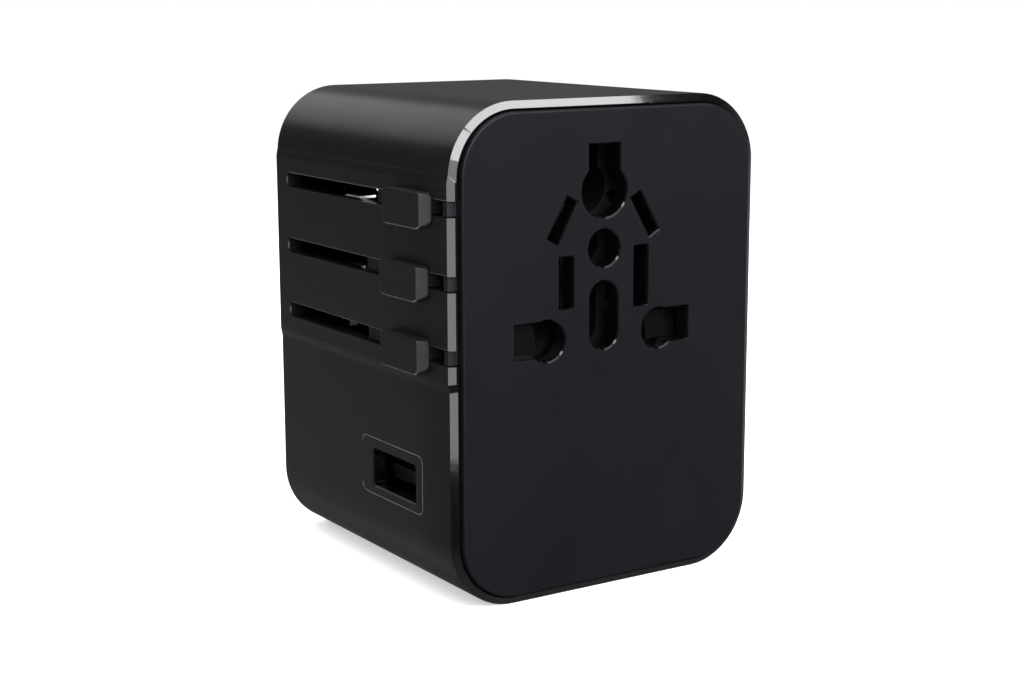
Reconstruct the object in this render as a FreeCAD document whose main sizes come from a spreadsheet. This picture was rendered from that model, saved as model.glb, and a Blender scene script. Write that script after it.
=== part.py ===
import FreeCAD, Part
import math
import os
import Sketcher

# A travel adapter with a universal socket face, three plugs on sliders, a USB charger and a fuse drawer.
# Millimetres, +Z up. The socket face looks to -Y, the plug side to +Y and the slider knobs to -X.
# The origin is the middle of the sleeve's underside.

document = FreeCAD.newDocument("TravelAdapter")
sheet = document.addObject("Spreadsheet::Sheet", "Sizes")


class Size:
    # A dimension: the expression that the document keeps, and its number for placing the first sketch points.
    def __init__(self, text, number):
        self.text = text
        self.number = number

    def __add__(self, other):
        other = as_size(other)
        return Size(f"({self.text} + {other.text})", self.number + other.number)

    def __sub__(self, other):
        other = as_size(other)
        return Size(f"({self.text} - {other.text})", self.number - other.number)

    def __mul__(self, other):
        other = as_size(other)
        return Size(f"({self.text} * {other.text})", self.number * other.number)

    def __truediv__(self, other):
        other = as_size(other)
        return Size(f"({self.text} / {other.text})", self.number / other.number)

    def __neg__(self):
        return Size(f"(0 - {self.text})", -self.number)


def as_size(value):
    if isinstance(value, Size):
        return value
    return Size(f"({value})", value)


def cosine(angle):
    return Size(f"cos({angle.text} * 1 deg)", math.cos(math.radians(angle.number)))


def sine(angle):
    return Size(f"sin({angle.text} * 1 deg)", math.sin(math.radians(angle.number)))


sizes = {}


def size(name, number):
    row = len(sizes) + 1
    sheet.set(f"A{row}", name)
    sheet.set(f"B{row}", str(number))
    sheet.setAlias(f"B{row}", name)
    sizes[name] = Size(f"Sizes.{name}", number)
    return sizes[name]


# Housing.
housing_width = size("housing_width", 51.6)
housing_height = size("housing_height", 69.8)
housing_depth = size("housing_depth", 51.8)
corner_radius = size("corner_radius", 10)
wall = size("wall", 2)
over = size("cut_overshoot", 1)

# Front edge of the sleeve and the socket face that sits in it.
rim_width = size("rim_width", 1.15)
rim_slope_width = size("rim_slope_width", 1)
rim_slope_depth = size("rim_slope_depth", 0.5)
plate_gap = size("plate_gap", 0.2)
plate_proud = size("plate_proud", 0.8)
front_rebate = size("front_rebate", 1.8)
plate_edge_radius = size("plate_edge_radius", 0.35)
hole_bevel = size("hole_bevel", 0.2)

# Rear edge of the sleeve and the plug face that sits in it.
rear_rim = size("rear_rim", 1)
rear_edge_radius = size("rear_edge_radius", 0.5)
rear_gap = size("rear_gap", 0.1)
rear_rebate = size("rear_rebate", 2.3)
guide_depth = size("guide_depth", 2)
pin_clearance = size("pin_clearance", 0.25)

# Raised band along the slider side, its three slots and the tabs in their mouths.
band_proud = size("band_proud", 0.22)
band_below = size("band_below_slots", 3.55)
band_above = size("band_above_slots", 3.45)
band_slope = size("band_slope", 1.1)
lane_rise = size("lane_rise", 0.9)
slot_pitch = size("slot_pitch", 10)
slot_height = size("slot_height", 2.2)
slot_end = size("slot_end", 22)
slot_corner = size("slot_corner", 0.6)
slot_bevel = size("slot_bevel", 0.15)
tab_gap = size("tab_gap", 0.12)
tab_recess = size("tab_recess", 0.2)
tab_setback = size("tab_setback", 0.7)

# Socket face pattern, across from its own upright axis and up or down from its centre hole.
axis_across = size("axis_across", -1.4)
pattern_rise = size("pattern_rise", 14.2)
flat_spacing = size("flat_slot_spacing", 12.7)
flat_drop = size("flat_slot_drop", 4.35)
flat_width = size("flat_slot_width", 2.3)
flat_left_height = size("flat_slot_left_height", 7.1)
flat_right_height = size("flat_slot_right_height", 8.5)
slant_spacing = size("slanted_slot_spacing", 14)
slant_rise = size("slanted_slot_rise", 4.35)
slant_length = size("slanted_slot_length", 6.5)
slant_width = size("slanted_slot_width", 1.85)
slant_angle = size("slanted_slot_angle", 30)
round_spacing = size("round_hole_spacing", 19)
round_drop = size("round_hole_drop", 12.15)
round_radius = size("round_hole_radius", 2.9)
square_rise = size("square_hole_rise", 0.3)
square_height = size("square_hole_height", 4.75)
square_reach = size("square_hole_reach", 14.8)
earth_rise = size("earth_hole_rise", 8)
earth_radius = size("earth_hole_radius", 3.75)
earth_width = size("earth_slot_width", 5.1)
earth_reach = size("earth_slot_reach", 6.4)
centre_radius = size("centre_hole_radius", 2.625)
pill_width = size("pill_width", 4.74)
pill_drop = size("pill_drop", 4.6)
pill_length = size("pill_length", 9.65)

# Plug pattern, from the same axis and centre.
travel = size("slider_travel", 23)
stop_gap = size("slider_stop_gap", 0.3)
uk_spacing = size("uk_pin_spacing", 22.2)
uk_drop = size("uk_row_drop", 14.6)
uk_rise = size("uk_earth_rise", 22.2)
uk_pin_width = size("uk_pin_width", 6.35)
uk_pin_thickness = size("uk_pin_thickness", 3.97)
uk_earth_length = size("uk_earth_pin_height", 7.95)
uk_reach = size("uk_pin_reach", 17.7)
uk_pin_bevel = size("uk_pin_bevel", 1)
eu_spacing = size("eu_pin_spacing", 19)
eu_drop = size("eu_row_drop", 4.1)
eu_pin_radius = size("eu_pin_radius", 2)
eu_core_radius = size("eu_pin_core_radius", 1.45)
eu_tip_radius = size("eu_pin_tip_radius", 1)
eu_collar_length = size("eu_collar_length", 10)
eu_reach = size("eu_pin_reach", 18.9)
us_spacing = size("us_blade_spacing", 12.7)
us_rise = size("us_row_rise", 6.3)
us_blade_width = size("us_blade_width", 6.35)
us_blade_thickness = size("us_blade_thickness", 1.5)
us_reach = size("us_blade_reach", 17.9)
us_blade_hole = size("us_blade_hole_radius", 1.6)
us_hole_setback = size("us_blade_hole_setback", 6)
us_window = size("us_window_radius", 3.5)
pin_bevel = size("pin_bevel", 0.5)

# Sliders. Each keeps its own lane across and up, so that they pass each other.
carrier_depth = size("carrier_depth", 5)
arm_gap = size("arm_gap", 2.2)
arm_thickness = size("arm_thickness", 2.4)
arm_height = size("arm_height", 4.2)
hub_radius = size("hub_radius", 4)
hub_bore = size("hub_bore_radius", 3.3)
hub_floor = size("hub_floor", 1.5)
pin_seat = size("pin_seat_depth", 3)
rivet_gap = size("rivet_gap", 0.06)
rivet_height = size("rivet_height", 0.6)
rivet_radius = size("rivet_radius", 1.9)
hanger_thickness = size("hanger_thickness", 1.5)
turn_clearance = size("turn_clearance", 0.06)
stub_radius = size("blade_stub_radius", 1.1)
us_bar_drop = size("us_bar_drop", 6.2)
us_bar_height = size("us_bar_height", 2.3)
us_web_rise = size("us_web_rise", 2.8)
eu_bar_half = size("eu_bar_half_height", 3.1)
eu_bar_end = size("eu_bar_end", 2.9)
uk_bar_below = size("uk_bar_below", 3.2)
uk_bar_above = size("uk_bar_above", 3.8)
uk_column_left = size("uk_column_left", 14.5)
uk_column_width = size("uk_column_width", 3.5)
uk_top_gap = size("uk_top_gap", 0.625)
uk_top_height = size("uk_top_height", 2.8)

# Knobs.
knob_length = size("knob_length", 10.5)
knob_height = size("knob_height", 5)
knob_proud = size("knob_proud", 1.98)
knob_corner = size("knob_corner", 0.8)
knob_front_corner = size("knob_front_corner", 1.4)
knob_edge = size("knob_edge", 0.3)
knob_drop = size("knob_drop", 0.5)
knob_slant = size("knob_slant", 0.4)
knob_lift = size("knob_lift", 0.15)
knob_front = size("knob_front", 4.2)
knob_setback = size("knob_setback", 1)
neck_clearance = size("neck_clearance", 0.15)
neck_inset = size("neck_inset", 0.5)
tail_recess = size("tail_recess", 1)
us_tail_end = size("us_tail_end", -5)
tail_end = size("tail_end", -1.6)
tail_gap = size("tail_gap", 0.1)

# Bent metal strips behind the upper two slots, which click the sliders into place.
strip_thickness = size("strip_thickness", 0.35)
strip_width = size("strip_width", 1.7)
strip_gap = size("strip_gap", 0.1)
us_strip_near = size("us_strip_near", -1.9)
us_strip_bend = size("us_strip_bend", 3.4)
us_strip_far = size("us_strip_far", 7.2)
us_strip_rise = size("us_strip_rise", -0.3)
us_strip_sag = size("us_strip_sag", -1.05)
us_strip_tip = size("us_strip_tip", -1)
eu_strip_near = size("eu_strip_near", 1.6)
eu_strip_bend = size("eu_strip_bend", 4)
eu_strip_far = size("eu_strip_far", 6.8)
eu_strip_rise = size("eu_strip_rise", -0.9)
eu_strip_sag = size("eu_strip_sag", -1.3)
eu_strip_tip = size("eu_strip_tip", -1.2)

# Socket block, shutter and contacts.
shutter_room = size("shutter_room", 2.7)
spine_gap = size("spine_gap", 1)
sheet_metal = size("sheet_metal", 0.6)
block_side_gap = size("block_side_gap", 0.8)
block_post_gap = size("block_post_gap", 0.5)
block_drop = size("block_drop", 11.95)
block_shoulder_rise = size("block_shoulder_rise", 5.25)
block_roof = size("block_roof", 0.6)
cavity_gap = size("cavity_gap", 0.3)
jaw_room = size("jaw_room", 0.4)
end_room = size("flat_cavity_end_room", 0.1)
cavity_floor = size("cavity_floor", 1)
rail_width = size("shutter_rail_width", 1.2)
shutter_thickness = size("shutter_thickness", 1.6)
shutter_gap = size("shutter_gap", 0.2)
shutter_cover = size("shutter_cover", 0.55)
shutter_side_cover = size("shutter_side_cover", 0.8)
shutter_link_gap = size("shutter_link_gap", 0.65)
shutter_link_height = size("shutter_link_height", 3.4)
shutter_travel = size("shutter_travel", 6)
seat_half = size("spring_seat_half_width", 5)
spring_closed = size("shutter_spring_closed_height", 3.6)
seat_thickness = size("spring_seat_thickness", 1.2)
seat_leg = size("spring_seat_leg", 2)
spring_strip = size("shutter_spring_strip", 0.3)
spring_tip = size("shutter_spring_tip_width", 0.45)
spring_half = size("shutter_spring_half_width", 4.6)
spring_inset = size("shutter_spring_inset", 0.6)
ramp_depth = size("shutter_ramp_depth", 0.6)
jaw_setback = size("jaw_setback", 1.6)
jaw_inner = size("round_jaw_inner", 8.4)
rail_strip_width = size("collector_strip_width", 5)
rail_strip_end = size("collector_strip_end", 20)
us_live_rail_rise = size("us_live_strip_rise", 1.7)
us_live_rail_start = size("us_live_strip_start", 8.6)
us_neutral_rail_across = size("us_neutral_strip_across", 11.4)
us_neutral_rail_rise = size("us_neutral_strip_rise", 1.6)
wiper_gap = size("wiper_gap", 0.15)
wiper_length = size("wiper_length", 3.4)
wiper_inset = size("wiper_inset", 1)

# Screws and their posts.
post_radius = size("post_radius", 2.7)
post_side_inset = size("post_side_inset", 6.2)
post_inset = size("post_inset", 8.4)
post_end = size("post_end", 17)
screw_radius = size("screw_radius", 0.95)
screw_clearance = size("screw_clearance", 0.1)
screw_length = size("screw_length", 16)
screw_head_radius = size("screw_head_radius", 2)
screw_head_height = size("screw_head_height", 1.5)
drive_width = size("screw_drive_width", 0.5)
drive_length = size("screw_drive_length", 2.2)
drive_depth = size("screw_drive_depth", 0.7)

# USB port.
usb_near = size("usb_near", -15.85)
usb_width = size("usb_width", 12.35)
usb_low = size("usb_low", 13.65)
usb_height = size("usb_height", 5.45)
usb_corner = size("usb_corner", 0.4)
usb_bevel = size("usb_bevel", 0.2)
shell_metal = size("usb_shell_metal", 0.35)
shell_depth = size("usb_shell_depth", 13.8)
shell_gap = size("usb_shell_gap", 0.1)
tongue_width = size("usb_tongue_width", 11.2)
tongue_rise = size("usb_tongue_rise", 1)
tongue_root = size("usb_tongue_root", 2)
shell_leg = size("usb_shell_leg", 2)
shell_leg_inset = size("usb_shell_leg_inset", 1.5)
tongue_thickness = size("usb_tongue_thickness", 1.9)
tongue_setback = size("usb_tongue_setback", 1)
contact_width = size("usb_contact_width", 1)
contact_pitch = size("usb_contact_pitch", 2.3)
contact_thickness = size("usb_contact_thickness", 0.25)

# Charger.
board_low = size("board_low", 11.2)
board_thickness = size("board_thickness", 1.6)
board_half = size("board_half_width", 21.5)
board_near = size("board_near", -22)
board_far = size("board_far", 20)
tray_half = size("tray_half_width", 15)
tray_wall = size("tray_wall", 1.4)
tray_floor = size("tray_floor", 1.4)
seat_gap = size("seat_gap", 0.1)
transformer_left = size("transformer_left", -9)
transformer_near = size("transformer_near", -4.5)
transformer_width = size("transformer_width", 12)
transformer_depth = size("transformer_depth", 13)
transformer_height = size("transformer_height", 12)
core_depth = size("transformer_core_depth", 6)
core_limb = size("transformer_core_limb", 2.4)
winding_gap = size("winding_gap", 0.1)
bulk_radius = size("bulk_capacitor_radius", 4)
bulk_room = size("bulk_capacitor_room", 1.2)
bulk_across = size("bulk_capacitor_across", 11)
bulk_along = size("bulk_capacitor_along", -14)
output_radius = size("output_capacitor_radius", 3.1)
output_height = size("output_capacitor_height", 9)
output_across = size("output_capacitor_across", -14)
output_along = size("output_capacitor_along", 8)
chip_length = size("chip_length", 5)
chip_width = size("chip_width", 4)
chip_height = size("chip_height", 1.5)
chip_across = size("chip_across", -1)
chip_along = size("chip_along", -12)

# Fuse drawer.
drawer_across = size("drawer_across", 9.5)
drawer_width = size("drawer_width", 8.4)
drawer_low = size("drawer_low", 16)
drawer_height = size("drawer_height", 6.6)
drawer_wall = size("drawer_wall", 1.2)
drawer_gap = size("drawer_gap", 0.2)
drawer_front = size("drawer_front", 1.6)
drawer_grip = size("drawer_grip_depth", 0.8)
chute_wall = size("chute_wall", 1.1)
chute_room = size("chute_room", 1.4)
chute_play = size("chute_play", 0.5)
grip_width = size("drawer_grip_width", 4.8)
grip_height = size("drawer_grip_height", 2.4)
fuse_radius = size("fuse_radius", 2.2)
fuse_cap_radius = size("fuse_cap_radius", 2.5)
fuse_cap_length = size("fuse_cap_length", 5)
fuse_length = size("fuse_length", 20)
fuse_end_gap = size("fuse_end_gap", 0.6)
fine_gap = size("fine_gap", 0.03)
clip_gap = size("fuse_clip_gap", 0.15)
clip_width = size("fuse_clip_width", 3)
clip_length = size("fuse_clip_length", 3.4)

# Places that several pieces share.
left = -housing_width / 2
right = housing_width / 2
front = -housing_depth / 2
rear = housing_depth / 2
base = as_size(0)
drawer_length = drawer_wall + fuse_length + fuse_end_gap * 2 + drawer_front
centre_up = housing_height / 2 + pattern_rise
flat_up = centre_up - flat_drop
slant_up = centre_up + slant_rise
round_up = centre_up - round_drop
square_up = round_up + square_rise
earth_up = centre_up + earth_rise
earth_top = earth_up + earth_reach
pill_high = centre_up - pill_drop
pill_low = pill_high - pill_length
uk_row = centre_up - uk_drop
eu_row = centre_up - eu_drop
us_row = centre_up + us_rise
slot_middle = eu_row + lane_rise
slots = {"us": slot_middle + slot_pitch, "eu": slot_middle, "uk": slot_middle - slot_pitch}
band_low = slots["uk"] - band_below
band_high = slots["us"] + band_above
band_left = left - band_proud
inner_left = left + wall
plate_front = front - plate_proud
plate_back = front + front_rebate
cover_front = rear - rear_rebate
guide_front = cover_front - guide_depth
carrier_back = guide_front - stop_gap - travel
carrier_front = carrier_back - carrier_depth
block_front = plate_back + shutter_room
block_back = carrier_front - spine_gap - sheet_metal
spine_back = block_back + sheet_metal
shutter_high = round_up + round_radius + shutter_cover
shutter_inner = round_spacing / 2 - round_radius - shutter_side_cover
shutter_link_high = pill_low - shutter_link_gap
shutter_low = shutter_link_high - shutter_link_height
seat_low = shutter_low - shutter_travel - spring_closed - seat_thickness
strip_top = round_up + round_radius + jaw_room + sheet_metal
strip_bottom = strip_top - sheet_metal
arm_left = inner_left + arm_gap
arm_right = arm_left + arm_thickness
post_across = housing_width / 2 - post_side_inset
post_high = housing_height - post_inset
block_half = axis_across - arm_right - block_side_gap
block_neck_half = post_across - post_radius - block_post_gap + axis_across
block_low = round_up - block_drop
block_shoulder = flat_up + block_shoulder_rise
block_high = earth_top + end_room + block_roof
us_bar_low = us_row - us_bar_drop
us_bar_high = us_bar_low + us_bar_height
us_web_high = us_row + us_web_rise
us_live_rail_up = us_web_high + us_live_rail_rise
us_neutral_rail_high = us_row + us_neutral_rail_rise
uk_top_low = uk_row + uk_rise + uk_earth_length / 2 + uk_top_gap
uk_top_high = uk_top_low + uk_top_height
uk_bar_low = uk_row - uk_bar_below
uk_bar_high = uk_row + uk_bar_above
uk_column_right = axis_across + uk_column_left + uk_column_width
board_high = board_low + board_thickness
usb_far = usb_near + usb_width
usb_high = usb_low + usb_height


def new_body(node):
    body = document.addObject("PartDesign::Body", node + "_body")
    body.Label = node
    return body


def across_span(side, near, far):
    # The places at these distances from the pattern's upright axis on one side, in rising order.
    return sorted((axis_across + near * side, axis_across + far * side), key=lambda place: place.number)


def origin_plane(body, name):
    for feature in body.Origin.OriginFeatures:
        if feature.Role == name + "_Plane":
            return feature


# Sketch outlines. Each point is tied to the sketch's origin by two expressions.
def fix_point(sketch, geometry, end, across, up):
    for kind, value in (("DistanceX", as_size(across)), ("DistanceY", as_size(up))):
        number = sketch.addConstraint(Sketcher.Constraint(kind, -1, 1, geometry, end, value.number))
        sketch.setExpression(f"Constraints[{number}]", value.text)


def fix_radius(sketch, geometry, radius):
    number = sketch.addConstraint(Sketcher.Constraint("Radius", geometry, radius.number))
    sketch.setExpression(f"Constraints[{number}]", radius.text)


def vector(across, up):
    return FreeCAD.Vector(as_size(across).number, as_size(up).number, 0)


def polygon(sketch, corners):
    count = len(corners)
    points = [vector(*corner) for corner in corners]
    lines = []
    for step in range(count):
        segment = Part.LineSegment(points[step], points[(step + 1) % count])
        lines.append(sketch.addGeometry(segment))
    for step in range(count):
        following = lines[(step + 1) % count]
        sketch.addConstraint(Sketcher.Constraint("Coincident", lines[step], 2, following, 1))
        fix_point(sketch, lines[step], 1, *corners[step])


def rectangle(sketch, start, end, low, high):
    polygon(sketch, [(start, low), (end, low), (end, high), (start, high)])


def circle(sketch, across, up, radius):
    ring = sketch.addGeometry(Part.Circle(vector(across, up), FreeCAD.Vector(0, 0, 1), radius.number))
    fix_point(sketch, ring, 3, across, up)
    fix_radius(sketch, ring, radius)


def rounded(sketch, start, end, low, high, radius):
    # Four corner arcs, counterclockwise from the lower right one, joined by tangent lines.
    centres = [(end - radius, low + radius), (end - radius, high - radius),
               (start + radius, high - radius), (start + radius, low + radius)]
    quarter = math.pi / 2
    arcs = []
    for step, centre in enumerate(centres):
        ring = Part.Circle(vector(*centre), FreeCAD.Vector(0, 0, 1), radius.number)
        arcs.append(sketch.addGeometry(Part.ArcOfCircle(ring, (step - 1) * quarter, step * quarter)))
    for step, arc in enumerate(arcs):
        following = arcs[(step + 1) % 4]
        begin = sketch.Geometry[arc].EndPoint
        finish = sketch.Geometry[following].StartPoint
        line = sketch.addGeometry(Part.LineSegment(begin, finish))
        sketch.addConstraint(Sketcher.Constraint("Tangent", arc, 2, line, 1))
        sketch.addConstraint(Sketcher.Constraint("Tangent", line, 2, following, 1))
    for arc, centre in zip(arcs, centres):
        fix_point(sketch, arc, 3, *centre)
        fix_radius(sketch, arc, radius)


def upright_pill(sketch, across, width, low, high):
    radius = width / 2
    lower = Part.Circle(vector(across, low + radius), FreeCAD.Vector(0, 0, 1), radius.number)
    upper = Part.Circle(vector(across, high - radius), FreeCAD.Vector(0, 0, 1), radius.number)
    bottom = sketch.addGeometry(Part.ArcOfCircle(lower, math.pi, 2 * math.pi))
    cap = sketch.addGeometry(Part.ArcOfCircle(upper, 0, math.pi))
    for arc, following in ((bottom, cap), (cap, bottom)):
        begin = sketch.Geometry[arc].EndPoint
        finish = sketch.Geometry[following].StartPoint
        line = sketch.addGeometry(Part.LineSegment(begin, finish))
        sketch.addConstraint(Sketcher.Constraint("Tangent", arc, 2, line, 1))
        sketch.addConstraint(Sketcher.Constraint("Tangent", line, 2, following, 1))
    fix_point(sketch, bottom, 3, across, low + radius)
    fix_point(sketch, cap, 3, across, high - radius)
    fix_radius(sketch, bottom, radius)
    fix_radius(sketch, cap, radius)


def slanted_rectangle(sketch, across, up, angle, start, end, low, high):
    # The rectangle is turned by the angle about its reference point, clockwise for a positive angle.
    corners = []
    for along, rise in ((start, low), (end, low), (end, high), (start, high)):
        x = across + along * cosine(angle) + rise * sine(angle)
        z = up + rise * cosine(angle) - along * sine(angle)
        corners.append((x, z))
    polygon(sketch, corners)


# A sketch on XZ looks along Y, one on YZ along X and one on XY along Z. Each feature runs from start to end.
cuts = []


def outline(body, name, plane, start, draw, shape):
    sketch = body.newObject("Sketcher::SketchObject", name + "_outline")
    sketch.AttachmentSupport = (origin_plane(body, plane), [""])
    sketch.MapMode = "FlatFace"
    offset = -start if plane == "XZ" else start
    sketch.setExpression("AttachmentOffset.Base.z", offset.text)
    draw(sketch, *shape)
    return sketch


def add(body, name, plane, start, end, draw, *shape):
    sketch = outline(body, name, plane, as_size(start), draw, shape)
    pad = body.newObject("PartDesign::Pad", name)
    pad.Profile = sketch
    pad.Reversed = plane == "XZ"
    pad.setExpression("Length", (end - start).text)
    sketch.Visibility = False
    return pad


def remove(body, name, plane, start, end, draw, *shape):
    sketch = outline(body, name, plane, as_size(start), draw, shape)
    pocket = body.newObject("PartDesign::Pocket", name)
    pocket.Profile = sketch
    pocket.Reversed = plane != "XZ"
    pocket.setExpression("Length", (end - start).text)
    sketch.Visibility = False
    cuts.append(pocket)
    return pocket


touching = 0.001


def edges_on(feature, axis, place):
    names = []
    for number, edge in enumerate(feature.Shape.Edges, 1):
        if all(abs(point[axis] - place.number) < touching for point in edge.discretize(5)):
            names.append(f"Edge{number}")
    return names


def opening_edges(feature, place, low, high, near, far):
    # The edges in the plane at this place along X that lie inside these heights and places along Y.
    names = []
    for number, edge in enumerate(feature.Shape.Edges, 1):
        points = edge.discretize(5)
        in_plane = all(abs(point.x - place.number) < touching for point in points)
        in_height = all(low.number - touching < point.z < high.number + touching for point in points)
        if in_plane and in_height and all(near.number < point.y < far.number for point in points):
            names.append(f"Edge{number}")
    return names


def round_edges(body, name, feature, names, radius):
    fillet = body.newObject("PartDesign::Fillet", name)
    fillet.Base = (feature, names)
    fillet.setExpression("Radius", radius.text)
    return fillet


def bevel_edges(body, name, feature, names, width):
    chamfer = body.newObject("PartDesign::Chamfer", name)
    chamfer.Base = (feature, names)
    chamfer.setExpression("Size", width.text)
    return chamfer


# Plain solids, for small pieces.
def bind(item, values):
    for name, value in values.items():
        item.setExpression(name, as_size(value).text)
    return item


def box(name, x_start, x_end, y_start, y_end, z_start, z_end):
    item = document.addObject("Part::Box", name)
    return bind(item, {"Length": x_end - x_start, "Width": y_end - y_start, "Height": z_end - z_start,
                       "Placement.Base.x": x_start, "Placement.Base.y": y_start, "Placement.Base.z": z_start})


rod_turns = {"y": FreeCAD.Rotation(FreeCAD.Vector(1, 0, 0), -90), "z": FreeCAD.Rotation()}


def rod(name, axis, x, y, z, length, radius):
    item = document.addObject("Part::Cylinder", name)
    item.Placement = FreeCAD.Placement(FreeCAD.Vector(), rod_turns[axis])
    return bind(item, {"Radius": radius, "Height": length,
                       "Placement.Base.x": x, "Placement.Base.y": y, "Placement.Base.z": z})


def tube(name, axis, x, y, z, length, outer, inner):
    shell = rod(name + "_outside", axis, x, y, z, length, outer)
    hollow = rod(name + "_inside", axis, x, y, z, length, inner)
    return minus(name, shell, hollow)


def plus(name, items):
    joined = document.addObject("Part::MultiFuse", name)
    joined.Shapes = items
    return joined


def minus(name, item, tool):
    rest = document.addObject("Part::Cut", name)
    rest.Base = item
    rest.Tool = tool
    return rest


def group(name, items):
    together = document.addObject("Part::Compound", name)
    together.Links = items
    return together


nodes = []


def keep(item, node):
    item.Label = node
    nodes.append(item)


def make_sleeve():
    body = new_body("sleeve")
    add(body, "sleeve_shell", "XZ", front, rear, rounded, left, right, base, housing_height, corner_radius)
    inside = left + wall / 2
    band = add(body, "sleeve_band", "XZ", front, rear, polygon,
               [(inside, band_low - band_slope), (left, band_low - band_slope), (band_left, band_low),
                (band_left, band_high), (left, band_high + band_slope), (inside, band_high + band_slope)])
    document.recompute()
    rim = bevel_edges(body, "rim_slope", band, edges_on(band, 1, front), rim_slope_depth)
    rim.ChamferType = "Two distances"
    rim.setExpression("Size2", rim_slope_width.text)
    document.recompute()
    round_edges(body, "rear_edge", rim, edges_on(rim, 1, rear), rear_edge_radius)
    for name, start, end, inset in (("bore", front - over, rear + over, wall),
                                    ("front_rebate", front - over, plate_back, rim_width),
                                    ("rear_rebate", cover_front, rear + over, rear_rim)):
        remove(body, "sleeve_" + name, "XZ", start, end, rounded,
               left + inset, right - inset, inset, housing_height - inset, corner_radius - inset)
    for name, up in slots.items():
        remove(body, f"{name}_slot", "YZ", band_left - over, inner_left + over, rounded,
               front - over * 2, slot_end, up - slot_height / 2, up + slot_height / 2, slot_corner)
        # The slot is bevelled along the top and at the rear end only.
        low = up - slot_height / 2
        high = up + slot_height / 2
        remove(body, f"{name}_slot_top", "XZ", front - over, slot_end - slot_corner, polygon,
               [(band_left - over, high + slot_bevel + over), (band_left - over, high),
                (band_left + slot_bevel, high)])
        remove(body, f"{name}_slot_rear", "XY", low + slot_corner, high - slot_corner, polygon,
               [(band_left - over, slot_end + slot_bevel + over), (band_left - over, slot_end),
                (band_left + slot_bevel, slot_end)])
    window = remove(body, "usb_window", "YZ", left - over, inner_left + over, rounded,
                    usb_near, usb_far, usb_low, usb_high, usb_corner)
    document.recompute()
    port_edges = opening_edges(window, left, usb_low, usb_high, usb_near - over, usb_far + over)
    bevel_edges(body, "usb_edges", window, port_edges, usb_bevel)
    keep(body, "sleeve")


def inner_loop_edges(feature, place):
    # The edges of the holes in the flat face at this place along Y, without the face's own outer edge.
    faces = [face for face in feature.Shape.Faces
             if all(abs(vertex.Y - place.number) < touching for vertex in face.Vertexes)]
    face = max(faces, key=lambda item: item.Area)
    outer = face.OuterWire.Edges
    names = []
    for number, edge in enumerate(feature.Shape.Edges, 1):
        in_face = any(edge.isSame(other) for other in face.Edges)
        if in_face and not any(edge.isSame(other) for other in outer):
            names.append(f"Edge{number}")
    return names


def make_front_cover():
    body = new_body("front_cover")
    inset = rim_width + plate_gap
    plate = add(body, "socket_plate", "XZ", plate_front, plate_back, rounded,
                left + inset, right - inset, inset, housing_height - inset, corner_radius - inset)
    document.recompute()
    round_edges(body, "socket_plate_edge", plate, edges_on(plate, 1, plate_front), plate_edge_radius)

    def hole(name, draw, *shape):
        return remove(body, name + "_hole", "XZ", plate_front - over, plate_back + over, draw, *shape)

    half = flat_width / 2
    for name, side, height in (("flat_left", -1, flat_left_height), ("flat_right", 1, flat_right_height)):
        across = axis_across + flat_spacing * side / 2
        hole(name, rectangle, across - half, across + half, flat_up - height / 2, flat_up + height / 2)
    for name, side in (("left", -1), ("right", 1)):
        hole("round_" + name, circle, axis_across + round_spacing * side / 2, round_up, round_radius)
        hole("square_" + name, rectangle, *across_span(side, round_spacing / 2, square_reach),
             square_up - square_height / 2, square_up + square_height / 2)
        hole("slanted_" + name, slanted_rectangle, axis_across + slant_spacing * side / 2, slant_up,
             slant_angle * -side, -slant_width / 2, slant_width / 2, -slant_length / 2, slant_length / 2)
    hole("earth_round", circle, axis_across, earth_up, earth_radius)
    hole("earth_square", rectangle, axis_across - earth_width / 2, axis_across + earth_width / 2,
         earth_up, earth_top)
    hole("centre", circle, axis_across, centre_up, centre_radius)
    last = hole("pill", upright_pill, axis_across, pill_width, pill_low, pill_high)
    document.recompute()
    bevel_edges(body, "hole_edges", last, inner_loop_edges(last, plate_front), hole_bevel)

    for name, up in slots.items():
        add(body, name + "_tab", "YZ", band_left + tab_recess, left + inset + over, rectangle,
            front + tab_setback, plate_back, up - slot_height / 2 + tab_gap, up + slot_height / 2 - tab_gap)
    keep(body, "front_cover")


def post_places():
    return [(-1, post_inset), (1, post_inset), (1, post_high), (-1, post_high)]


def make_posts():
    # Posts behind the socket plate, with pilot holes, and the bosses of the plug plate that meet them.
    posts = []
    bosses = []
    hole = screw_radius + screw_clearance
    pilot = cover_front - screw_length - over
    for number, (side, up) in enumerate(post_places()):
        across = post_across * side
        post = rod(f"post_solid_{number}", "y", across, plate_back, up, post_end - plate_back, post_radius)
        pilot_hole = rod(f"post_pilot_{number}", "y", across, pilot, up, post_end + over - pilot, hole)
        posts.append(minus(f"post_{number}", post, pilot_hole))
        bosses.append(tube(f"boss_{number}", "y", across, post_end, up,
                           cover_front - post_end, post_radius, hole))
    keep(group("posts", posts), "front_posts")
    keep(group("bosses", bosses), "rear_bosses")


def make_drawer_chute():
    chute_left = drawer_across - drawer_width / 2 - drawer_gap
    chute_right = drawer_across + drawer_width / 2 + drawer_gap
    chute_low = drawer_low - drawer_gap
    chute_high = drawer_low + drawer_height + drawer_gap + chute_room
    chute_start = rear - drawer_length - chute_play
    body = new_body("drawer_chute")
    add(body, "chute_solid", "XZ", chute_start, cover_front, rectangle,
        chute_left - chute_wall, chute_right + chute_wall, chute_low - chute_wall, chute_high + chute_wall)
    remove(body, "chute_hollow", "XZ", chute_start - over, cover_front + over, rectangle,
           chute_left, chute_right, chute_low, chute_high)
    keep(body, "drawer_chute")


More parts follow.
